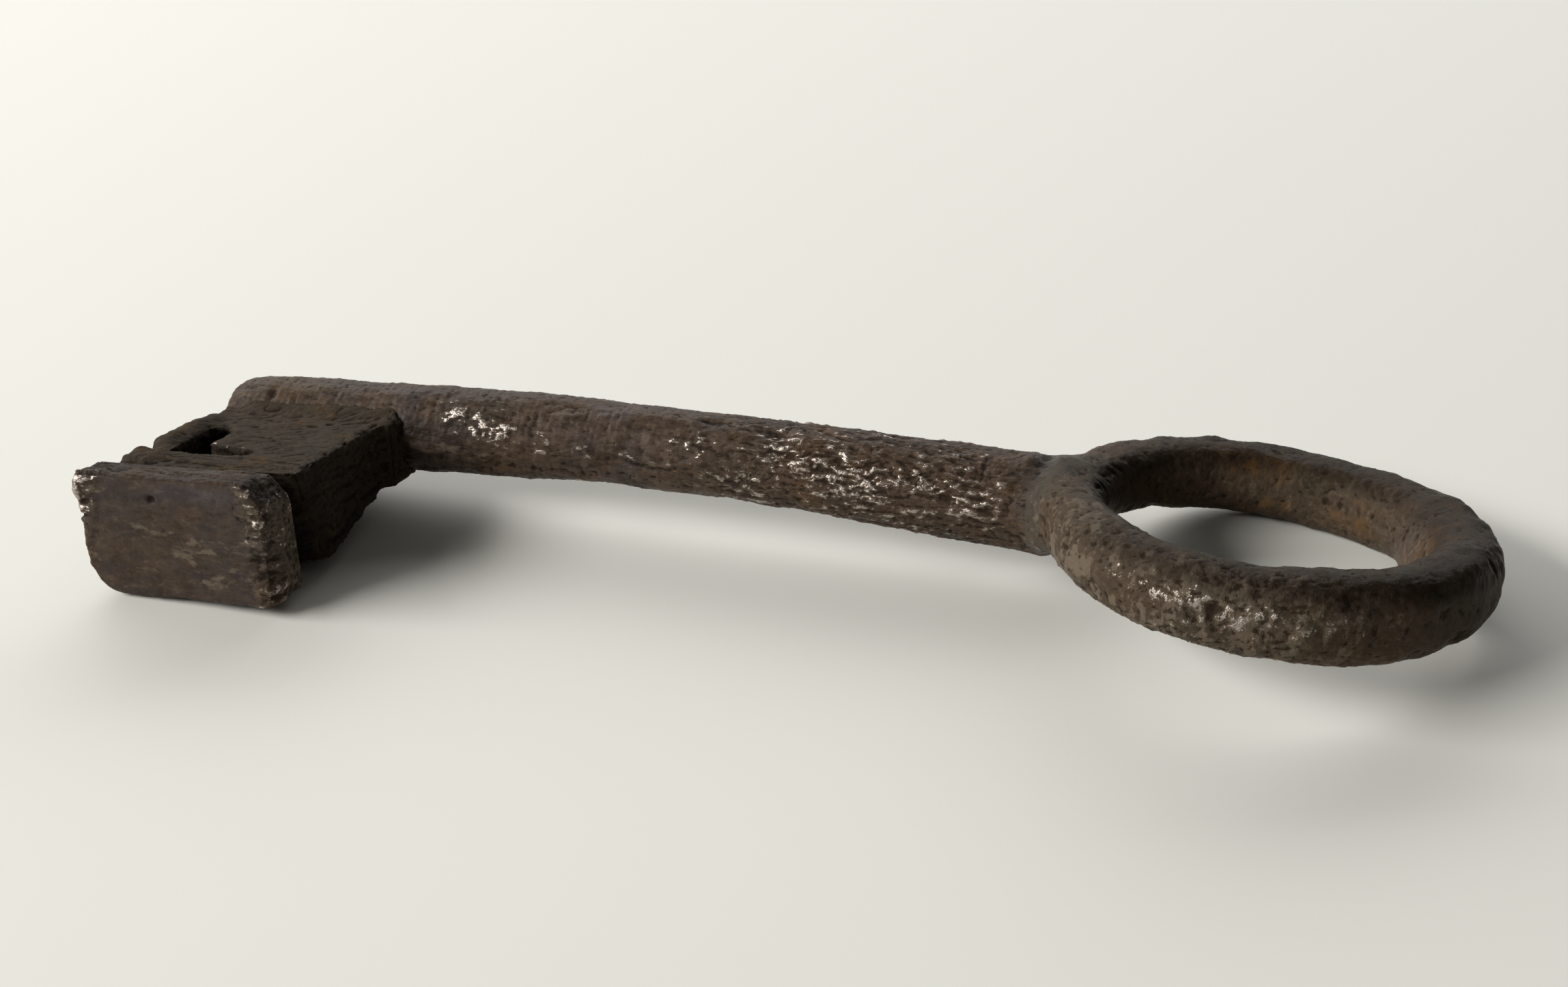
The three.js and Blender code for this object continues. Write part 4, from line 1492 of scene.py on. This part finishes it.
@dataclass(frozen=True)
class BitFoot:
    """The thick slab along the bit's outer edge, in the bit's axes."""

    plate: BitPlate = BitPlate()
    length: float = 20.3
    thickness: float = 4.8
    height: float = 12.9
    back_drop: float = 0.9
    corner: float = 1.1
    heel: float = 4.8
    bevel_width: float = 0.9
    bevel_depth: float = 1.8
    side_round: float = 0.8
    overhang: float = 2.1
    drop: float = 1.1
    gap: float = 0.08
    contact: float = 0.16
    edge_round: float = 0.35
    broken_corner: tuple[float, float] = (7.7, 3.4)
    pitch: float = 0.108

    def front(self) -> Array:
        """Outline of the face: small corners, and a heel worn round at the tip's lower corner."""
        a, b, r = self.length / 2, self.height / 2, self.corner
        return trace((a - r, -b), [
            (a, -b, a, -b + r), (a, b - r), (a, b, a - r, b), (-a + r, b), (-a, b, -a, b - r),
            (-a, -b + self.heel), (-a, -b, -a + self.heel, -b),
        ])

    def plan(self) -> Array:
        """Outline from above: a small round at the tip, a broad bevel at the bow end."""
        a, t, r = self.length / 2, self.thickness, self.side_round
        return trace((-a, 0.0), [
            (-a, -t + r), (-a, -t, -a + r, -t), (a - self.bevel_width, -t),
            (a, -t + self.bevel_depth), (a, 0.0),
        ])

    def section(self) -> Array:
        """Outline from the end: the top falls towards the plate, the face has rounded edges."""
        b, t, r = self.height / 2, self.thickness, self.side_round
        return trace((0.0, b - self.back_drop), [
            (0.0, -b), (-t + r, -b), (-t, -b, -t, -b + r), (-t, b - r), (-t, b, -t + r, b),
        ])

    def distance(self, x: Array, y: Array, z: Array) -> Array:
        """What front view, plan and section have in common, without the broken upper bow corner.

        Args:
            x: places along the foot, from its middle.
            y: places across it, from its back.
            z: heights, from its middle.

        Returns:
            Distances, below zero inside.
        """
        start, end = self.broken_corner
        across, up = self.length / 2 - start, self.height / 2 - end
        broken = ((x - start) * up + (z - self.height / 2) * across) / math.hypot(across, up)
        front = outline_distance(self.front(), *np.broadcast_arrays(x, z))
        plan = outline_distance(self.plan(), *np.broadcast_arrays(x, y))
        section = outline_distance(self.section(), *np.broadcast_arrays(y, z))
        return in_common([front, plan, section, broken], self.edge_round)

    def skin(self) -> Skin:
        """Nets the slab about its own middle, forges it, sets it against the plate and seats it.

        Returns:
            The foot's skin.
        """
        low = (-self.length / 2 - 1.0, -self.thickness - 1.0, -self.height / 2 - 1.0)
        high = (self.length / 2 + 1.0, 1.0, self.height / 2 + 1.0)
        skin = self.forged(surface_net(self.distance, low, high, self.pitch))
        middle = self.plate.tip_x - self.overhang + self.length / 2
        against = np.array([middle, -self.plate.reach - self.gap, -self.drop])
        skin.points = self.plate.seat.seated(skin.points + against)
        return skin

    def dents(self) -> list[Dent]:
        """The pit in the face, the notch and lumps at the tip, and the hollows in the bow end.

        Returns:
            The foot's dents.
        """
        t = self.thickness
        return [
            Dent((-1.95, -t, 4.1), (0.45, 0.6, 0.4), 0.34),
            Dent((-9.9, -t + 1.0, 1.9), (0.8, 2.4, 0.30), 0.45),
            Dent((-10.1, -t + 1.2, 4.2), (0.9, 1.8, 1.6), -0.40),
            Dent((-9.4, -t, 5.2), (0.9, 0.8, 0.8), -0.22),
            Dent((-9.3, -t, 3.3), (0.7, 0.7, 0.4), 0.24),
            Dent((9.0, -t + 0.3, -1.4), (1.1, 0.8, 0.55), 0.42),
            Dent((9.4, -t + 0.6, -3.0), (1.2, 0.9, 0.7), 0.50),
            Dent((9.8, -t + 1.2, -4.4), (1.0, 1.6, 0.5), -0.35),
            Dent((9.3, -t + 0.7, -5.3), (0.9, 0.9, 0.35), 0.30),
            Dent((9.0, -t + 0.6, 2.4), (0.7, 0.9, 0.5), -0.22),
            Dent((9.9, -t + 2.4, 0.6), (0.6, 0.9, 2.0), -0.25),
            Dent((-6.0, -t + 2.2, 6.1), (0.9, 1.4, 0.6), 0.22),
        ]

    @staticmethod
    def zones(p: Array, normal: Array) -> FootZones:
        """Finds the zones: ends with ragged borders, the top and the face by their slope.

        Args:
            p: points of the foot.
            normal: outward normals there.

        Returns:
            The zones.
        """
        ragged = 1.3 * fractal_noise(p, (2.2, 2.2, 1.6), 4, 47)
        bow_end = ramp(p[:, 0] + ragged + 0.15 * np.maximum(p[:, 2] - 1.0, 0.0), 7.5, 8.7)
        tip_end = ramp(-p[:, 0] + ragged + 0.22 * p[:, 2], 8.2, 10.0)
        end = np.maximum(bow_end, 0.8 * tip_end)
        return FootZones(bow_end, end, top=ramp(normal[:, 2], 0.4, 0.8),
                         face=ramp(-normal[:, 1], 0.6, 0.95) * (1.0 - end))

    def relief(self, p: Array, normal: Array, edge: Array, zone: FootZones) -> Array:
        """A worn face, crusty ends with fine furrows, and long ledges along the top.

        The back is left flat, and stands out to meet the plate.

        Args:
            p: points of the foot.
            normal: outward normals there.
            edge: 1 on the sharp edges.
            zone: the zones that the points lie in.

        Returns:
            Heights in millimetres.
        """
        end, top = zone.end, zone.top
        facets = fractal_noise(p, 6.0, 2, 14)
        waves = fractal_noise(p, (4.0, 2.0, 1.6), 3, 24)
        layers = terraces(fractal_noise(wandering(p, 1.6, 0.8, 16), (2.6, 2.6, 1.5), 4, 34), 0.34, 4.5)
        lumps = fractal_noise(wandering(p, 1.5, 0.5, 21), (1.6, 1.6, 1.1), 3, 49)
        ledges = terraces(fractal_noise(wandering(p, 2.5, 0.4, 17), (9.0, 0.9, 2.0), 3, 39), 0.45, 7.0)
        furrows = fractal_noise(wandering(p, 1.2, 0.3, 18), (2.2, 1.5, 0.30), 3, 40)
        grit = fractal_noise(p, 0.5, 3, 64)
        chips = ramp(fractal_noise(wandering(p, 1.4, 0.6, 26), (1.5, 1.5, 1.3), 4, 94), -0.05, 0.55)
        height = 0.10 * facets + 0.04 * waves + (0.03 + 0.06 * end) * layers + 0.20 * top * ledges
        height += 0.15 * end * lumps + 0.05 * end * furrows
        height += (0.015 + 0.030 * end + 0.02 * top) * grit
        height -= edge * (0.03 + 0.18 * chips) * (0.5 + 0.5 * end)
        height -= 0.04 * pits(p, 1.9, 0.22, 74) * end
        height += dented(p, self.dents())
        return height + (self.contact - height) * ramp(normal[:, 1], 0.6, 0.95)

    def forged(self, skin: Skin) -> Skin:
        """The foot with its relief and its finish's marks.

        The face has tan streaks low down, dark clouds, and a painted sheen in a band near its top. The
        top is painted with shade, the bow end has darker patches, and the ends are tan, rubbed bright at
        their corners.

        Args:
            skin: the foot about its own middle.

        Returns:
            The forged foot.
        """
        p = skin.points
        normal = skin.normals()
        zone = self.zones(p, normal)
        # Painted sheen: a band near the top of the face, with cool clouds on the rest of the face.
        sheen_band = bump_at(p[:, 2], 5.0, 0.7) * bump_at(p[:, 0], 2.2, 4.2)
        cloud = ramp(fractal_noise(p, (4.5, 3.0, 2.4), 3, 87), 0.0, 0.45)
        mottle = ramp(fractal_noise(wandering(p, 2.0, 0.8, 25), (1.8, 1.0, 0.55), 4, 89), -0.2, 0.7)
        lower = bump_at(p[:, 2], -1.4, 2.4) * bump_at(p[:, 0], 4.2, 4.4)
        tan = 0.7 * zone.end * (1.0 - zone.top) + zone.face * mottle * (0.45 + 0.55 * lower)
        corner = near(p, [(-9.8, -4.6, 4.8), (-9.6, -4.6, 3.4), (-8.4, -4.6, 5.6)], 1.5)
        corner += near(p, [(9.0, -4.4, 2.6), (9.4, -3.8, -4.4), (8.6, -4.6, 1.2)], 1.1)
        # Painted shade over the top; dark clouds on the face and darker patches on the bow end.
        shade_and_dark_tone = 0.6 * zone.top * (0.6 + 0.4 * cloud) + 0.45 * zone.face * (1.0 - mottle) * cloud
        shade_and_dark_tone += 0.4 * zone.bow_end * ramp(fractal_noise(p, (1.8, 1.8, 1.2), 3, 95), -0.1, 0.4)
        sheen_and_cool_tone = zone.face * (1.2 * sheen_band + 0.4 * cloud * (1.0 - mottle))
        marks = {"rust": 0.2 * ramp(fractal_noise(p, 5.0, 3, 85), 0.2, 0.8) * (1.0 - zone.face),
                 "shade_and_dark_tone": np.clip(shade_and_dark_tone, 0.0, 1.0), "sheen_and_cool_tone": np.clip(sheen_and_cool_tone, 0.0, 1.0),
                 "grit": 0.25 + 0.75 * np.maximum(zone.end, 0.6 * zone.top), "weld": np.zeros(len(p)),
                 "worn": np.clip(0.7 * corner + 0.42 * zone.end, 0.0, 1.0), "tan": np.clip(tan, 0.0, 1.0)}
        return skin.finished(self.relief(p, normal, skin.sharp_edges(), zone), marks)


# Shader maths


class Reading:
    """A shader socket that Python's operators turn into Math nodes."""

    def __init__(self, nodes: "NodeBook", socket: bpy.types.NodeSocket) -> None:
        """Keeps the socket and the book that new nodes go into."""
        self.nodes = nodes
        self.socket = socket

    def __add__(self, other: Any) -> "Reading":
        """Sum."""
        return self.nodes.maths("ADD", self, other)

    def __radd__(self, other: Any) -> "Reading":
        """Sum, from the right."""
        return self.nodes.maths("ADD", other, self)

    def __sub__(self, other: Any) -> "Reading":
        """Difference."""
        return self.nodes.maths("SUBTRACT", self, other)

    def __rsub__(self, other: Any) -> "Reading":
        """Difference, from the right."""
        return self.nodes.maths("SUBTRACT", other, self)

    def __mul__(self, other: Any) -> "Reading":
        """Product."""
        return self.nodes.maths("MULTIPLY", self, other)

    def __rmul__(self, other: Any) -> "Reading":
        """Product, from the right."""
        return self.nodes.maths("MULTIPLY", other, self)

    def ranged(self, low: float, high: float, to_low: float = 0.0, to_high: float = 1.0) -> "Reading":
        """The value taken from one range to another with a level start and end."""
        node = self.nodes.add("ShaderNodeMapRange", {"interpolation_type": "SMOOTHSTEP"},
                              {"Value": self, "From Min": low, "From Max": high,
                               "To Min": to_low, "To Max": to_high})
        return Reading(self.nodes, node.outputs["Result"])


@dataclass(frozen=True)
class Grain:
    """One noise of a patina: features in each metre, octaves, and how strong the finer ones are."""

    scale: float
    detail: float
    roughness: float


BROAD = Grain(150.0, 4.0, 0.6)
PATCH = Grain(520.0, 5.0, 0.62)
FINE = Grain(1500.0, 5.0, 0.65)
SPECK = Grain(4800.0, 3.0, 0.6)
FLECK = Grain(1900.0, 4.0, 0.7)
EVEN: Triple = (1.0, 1.0, 1.0)
# Point attributes that the finish reads. Two of them paint light into the colour: a sheen, and shade (on the
# foot they also carry cool and dark clouds).
MARKS = ("crest", "rust", "sheen_and_cool_tone", "grit", "worn", "tan", "weld", "shade_and_dark_tone")


class NodeBook:
    """The nodes of one material."""

    def __init__(self, name: str) -> None:
        """Starts a material that holds only its output."""
        self.material = bpy.data.materials.new(name)
        self.material.use_nodes = True
        self.tree = self.material.node_tree
        self.tree.nodes.clear()

    def add(self, kind: str, settings: dict[str, Any], inputs: dict[Any, Any]) -> bpy.types.Node:
        """Adds a node.

        Args:
            kind: the node's type.
            settings: its properties, set first.
            inputs: values or links for its sockets, by name or number.

        Returns:
            The node.
        """
        node = self.tree.nodes.new(kind)
        for name, value in settings.items():
            setattr(node, name, value)
        for name, value in inputs.items():
            if isinstance(value, Reading):
                self.tree.links.new(value.socket, node.inputs[name])
            elif isinstance(value, bpy.types.NodeSocket):
                self.tree.links.new(value, node.inputs[name])
            else:
                node.inputs[name].default_value = value
        return node

    def maths(self, operation: str, first: Any, second: Any) -> Reading:
        """One Math node on two values."""
        node = self.add("ShaderNodeMath", {"operation": operation}, {0: first, 1: second})
        return Reading(self, node.outputs[0])

    def mark(self, name: str) -> Reading:
        """One of the mesh's point attributes."""
        node = self.add("ShaderNodeAttribute", {"attribute_name": name}, {})
        return Reading(self, node.outputs["Fac"])

    def noise(self, grain: Grain, density: Triple) -> Reading:
        """Noise on Object coordinates, made denser along each axis by its number.

        Args:
            grain: the noise.
            density: how much denser it is along each axis.

        Returns:
            The noise, from 0 to 1.
        """
        place = self.add("ShaderNodeTexCoord", {}, {}).outputs["Object"]
        mapped = self.add("ShaderNodeMapping", {}, {"Vector": place, "Scale": density})
        node = self.add("ShaderNodeTexNoise", {"noise_dimensions": "3D"},
                        {"Vector": mapped.outputs["Vector"], "Scale": grain.scale, "Detail": grain.detail,
                         "Roughness": grain.roughness})
        return Reading(self, node.outputs["Fac"])

    def blend(self, share: Any, first: Any, second: Any) -> bpy.types.NodeSocket:
        """Mixes two colours; a share outside 0 to 1 counts as its nearer end.

        Args:
            share: how much of the second colour shows.
            first: a colour or a socket.
            second: a colour or a socket.

        Returns:
            The mixed colour's socket.
        """
        node = self.add("ShaderNodeMix", {"data_type": "RGBA", "blend_type": "MIX"},
                        {"Factor": share})
        for socket, value in ((node.inputs[6], first), (node.inputs[7], second)):
            if isinstance(value, bpy.types.NodeSocket):
                self.tree.links.new(value, socket)
            else:
                socket.default_value = (*value, 1.0)
        return node.outputs[2]

    def bump(self, strength: float, distance: float, height: Reading,
             under: Any = None) -> bpy.types.NodeSocket:
        """Bump from a height, on top of another bump's normals if there is one."""
        inputs = {"Strength": strength, "Distance": distance, "Height": height}
        if under is not None:
            inputs["Normal"] = under
        return self.add("ShaderNodeBump", {}, inputs).outputs["Normal"]

    def surface(self, inputs: dict[str, Any]) -> bpy.types.Material:
        """Closes the material with a Principled shader."""
        shader = self.add("ShaderNodeBsdfPrincipled", {}, inputs)
        out = self.add("ShaderNodeOutputMaterial", {}, {})
        self.tree.links.new(shader.outputs["BSDF"], out.inputs["Surface"])
        return self.material


@dataclass(frozen=True)
class OldIron:
    """Waxed dark patina on forged iron, with painted shade and a painted sheen laid into its colour."""

    name: str
    slot: Slot
    shade: Triple
    body: Triple
    tint: Triple
    worn: Triple = (0.40, 0.345, 0.30)
    cool: Triple = (0.080, 0.068, 0.072)
    fleck: Triple = (0.150, 0.082, 0.045)
    rust: Triple = (0.150, 0.078, 0.026)
    tan: Triple = (0.150, 0.118, 0.086)
    light: Triple = (0.140, 0.103, 0.074)
    weld: Triple = (0.066, 0.058, 0.046)
    gloss: float = 0.20
    dull: float = 0.66
    density: Triple = EVEN
    bare_from: float = 0.75
    bare_span: float = 0.30
    flecks: float = 0.5
    mottled: float = 0.27
    specular: float = 0.05
    wide_bump: float = 0.00030
    fine_bump: float = 0.00010

    def material(self) -> bpy.types.Material:
        """Builds the finish.

        Two browns lie in patches, with flecks between them. Crests are worn to bare metal, which is
        metallic and glossy. Each further colour is blended over the last one where its mark or its
        noise is high: among them a cool colour as a painted sheen, and the shade colour as painted shade.
        Two bumps add the grain that is finer than the mesh.

        Returns:
            The material.
        """
        book = NodeBook(self.name)
        crest, rust, sheen_and_cool_tone, grit, worn, tan, weld, shade_and_dark_tone = (book.mark(name) for name in MARKS)
        broad = book.noise(BROAD, EVEN)
        patch, fine, speck, fleck = (book.noise(grain, self.density) for grain in (PATCH, FINE, SPECK, FLECK))
        grain = (fine - 0.5) * 2.4 + (speck - 0.5) * 1.4
        hollow = (0.0 - crest * 1.1 - grain * 0.4).ranged(0.05, 1.00)
        bare = (crest * 0.55 + grain * (grit * 1.15) + worn * 0.58 - shade_and_dark_tone * 0.6).ranged(
            self.bare_from, self.bare_from + self.bare_span)
        streaked = (tan + (fine - 0.5) * 1.8 + (patch - 0.5) * 1.6).ranged(0.42, 0.95)
        colour = book.blend(broad.ranged(0.38, 0.62), self.body, self.tint)
        for share, layer in (
                (patch.ranged(0.50, 0.66) * self.mottled, self.shade),
                (fine.ranged(0.50, 0.66) * 0.42, self.light),
                (fine.ranged(0.50, 0.36) * self.mottled, self.shade),
                (fleck.ranged(0.56, 0.70) * self.flecks, self.fleck),
                (weld * 0.7, self.weld),
                # Painted sheen in a cool colour.
                (sheen_and_cool_tone * 0.8, self.cool),
                (streaked * 0.75, self.tan),
                (rust * patch.ranged(0.30, 0.60), self.rust),
                # Painted shade in the shade colour, and on the foot also dark clouds.
                (shade_and_dark_tone * patch.ranged(0.72, 0.42, 0.45, 0.90), self.shade),
                (hollow * 0.75, self.shade),
                (bare, self.worn)):
            colour = book.blend(share, colour, layer)
        rough = (fine * 0.6 + patch * 0.4 + hollow * 0.30 - bare * 0.40 - sheen_and_cool_tone * 0.15).ranged(
            0.25, 0.85, self.gloss, self.dull)
        wide = book.bump(0.7, self.wide_bump, fine * (0.30 + grit))
        return book.surface({
            "Base Color": colour, "Roughness": rough, "Metallic": bare * 0.85,
            "Specular IOR Level": self.specular,
            "Normal": book.bump(0.5, self.fine_bump, speck * (0.4 + grit), wide)})


STEM_IRON = OldIron("stem_iron_patina", Slot.STEM, shade=(0.014, 0.009, 0.006), body=(0.086, 0.057, 0.039),
                    tint=(0.064, 0.046, 0.034), density=(0.4, 1.0, 1.0), bare_from=0.70, specular=0.08,
                    mottled=0.42)
RING_IRON = OldIron("ring_iron_patina", Slot.RING, shade=(0.016, 0.010, 0.006), body=(0.078, 0.055, 0.037),
                    tint=(0.066, 0.051, 0.036), specular=0.03, mottled=0.20)
BIT_IRON = OldIron("bit_iron_patina", Slot.BIT, shade=(0.014, 0.010, 0.007), body=(0.056, 0.043, 0.030),
                   tint=(0.048, 0.039, 0.029), light=(0.075, 0.060, 0.045), gloss=0.50, dull=0.90,
                   bare_from=0.90, flecks=0.25, specular=0.03)
FOOT_IRON = OldIron("foot_iron_patina", Slot.FOOT, shade=(0.020, 0.013, 0.010), body=(0.072, 0.050, 0.036),
                    tint=(0.060, 0.046, 0.038), light=(0.105, 0.078, 0.058), density=(0.45, 1.0, 1.0),
                    bare_from=0.80, flecks=0.3)


# Table, light and camera


@dataclass(frozen=True)
class SoftLamp:
    """A rectangular soft lamp that faces the middle of the table."""

    name: str
    place: Triple
    size: tuple[float, float]
    power: float
    colour: Triple

    def hang(self) -> None:
        """Adds the lamp to the scene."""
        light = bpy.data.lights.new(self.name, "AREA")
        light.shape = "RECTANGLE"
        light.size, light.size_y = self.size
        light.energy = self.power
        light.color = self.colour
        lamp = bpy.data.objects.new(self.name, light)
        lamp.location = self.place
        lamp.rotation_euler = (-Vector(self.place)).to_track_quat("-Z", "Y").to_euler()
        bpy.context.scene.collection.objects.link(lamp)


@dataclass(frozen=True)
class Studio:
    """The pale table, soft window light and the camera."""

    table_size: float = 4.0
    table_colour: Triple = (0.83, 0.82, 0.755)
    table_roughness: float = 0.55
    table_specular: float = 0.3
    window: SoftLamp = SoftLamp("window", (-0.972, -0.561, 0.656), (0.95, 0.37), 19.0, (1.0, 0.99, 0.97))
    back_wall: SoftLamp = SoftLamp("back_wall", (-0.393, 0.772, 0.50), (2.26, 0.54), 10.6, (1.0, 1.0, 0.99))
    room_colour: Triple = (1.0, 0.99, 0.965)
    room_strength: float = 0.07
    target: Triple = (-0.003023, 0.003172, 0.005182)
    distance: float = 0.224395
    azimuth: float = math.radians(17.284)
    elevation: float = math.radians(28.253)
    roll: float = math.radians(-1.012)
    lens: float = 52.224
    sensor: float = 36.0
    near_clip: float = 0.01

    def table(self) -> None:
        """A square table top at the height that the key stands on."""
        half = self.table_size / 2
        mesh = bpy.data.meshes.new("table")
        mesh.from_pydata([(-half, -half, 0), (half, -half, 0), (half, half, 0), (-half, half, 0)],
                         [], [(0, 1, 2, 3)])
        table = bpy.data.objects.new("table", mesh)
        bpy.context.scene.collection.objects.link(table)
        mesh.materials.append(NodeBook("pale_table").surface({
            "Base Color": (*self.table_colour, 1.0), "Roughness": self.table_roughness,
            "Specular IOR Level": self.table_specular}))

    def light(self) -> None:
        """A window at the front left, a broad pale wall behind, and a dim even room."""
        self.window.hang()
        self.back_wall.hang()
        world = bpy.data.worlds.new("room")
        world.use_nodes = True
        background = world.node_tree.nodes["Background"]
        background.inputs["Color"].default_value = (*self.room_colour, 1.0)
        background.inputs["Strength"].default_value = self.room_strength
        bpy.context.scene.world = world

    def camera(self) -> None:
        """The photograph's view: target, distance, two angles and a small roll."""
        back = Vector((math.sin(self.azimuth) * math.cos(self.elevation),
                       -math.cos(self.azimuth) * math.cos(self.elevation),
                       math.sin(self.elevation)))
        data = bpy.data.cameras.new("camera")
        data.sensor_fit = "HORIZONTAL"
        data.sensor_width = self.sensor
        data.lens = self.lens
        data.clip_start = self.near_clip
        camera = bpy.data.objects.new("camera", data)
        camera.location = Vector(self.target) + back * self.distance
        turn = back.to_track_quat("Z", "Y").to_matrix().to_4x4()
        camera.rotation_euler = (turn @ Matrix.Rotation(self.roll, 4, "Z")).to_euler()
        bpy.context.scene.collection.objects.link(camera)
        bpy.context.scene.camera = camera
        bpy.context.scene.view_settings.view_transform = "Standard"


def dress(name: str, node: str, skin: Skin, finish: OldIron, place: Callable[[Array], Array]) -> None:
    """Makes a piece of a skin, gives it its finish and lets it stand for its solid.

    Args:
        name: the piece's name.
        node: the solid that it replaces.
        skin: its surface in the key's own axes.
        finish: its material; the slot that it names is not used.
        place: turns points in the key's axes into points in the frame, in metres.
    """
    piece = mesh_object(name, skin, place)
    piece.data.materials.append(finish.material())
    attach(piece, "root")
    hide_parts(node)
    LOG.info("%s: %d points, %d faces", name, len(piece.data.vertices), len(piece.data.polygons))


def main() -> None:
    """Builds the studio and the key's four pieces."""
    logging.basicConfig(level=logging.INFO, format="%(name)s %(message)s")
    studio = Studio()
    studio.camera()
    studio.table()
    studio.light()
    place = KeyAxes().placer()
    dress("forged_stem", "stem", Stem().skin(), STEM_IRON, place)
    dress("forged_ring_bow", "bow_ring", RingBow().skin(), RING_IRON, place)
    dress("forged_bit_plate", "bit_plate", BitPlate().skin(), BIT_IRON, place)
    dress("forged_bit_foot", "bit_foot", BitFoot().skin(), FOOT_IRON, place)


if __name__ == "__main__":
    main()
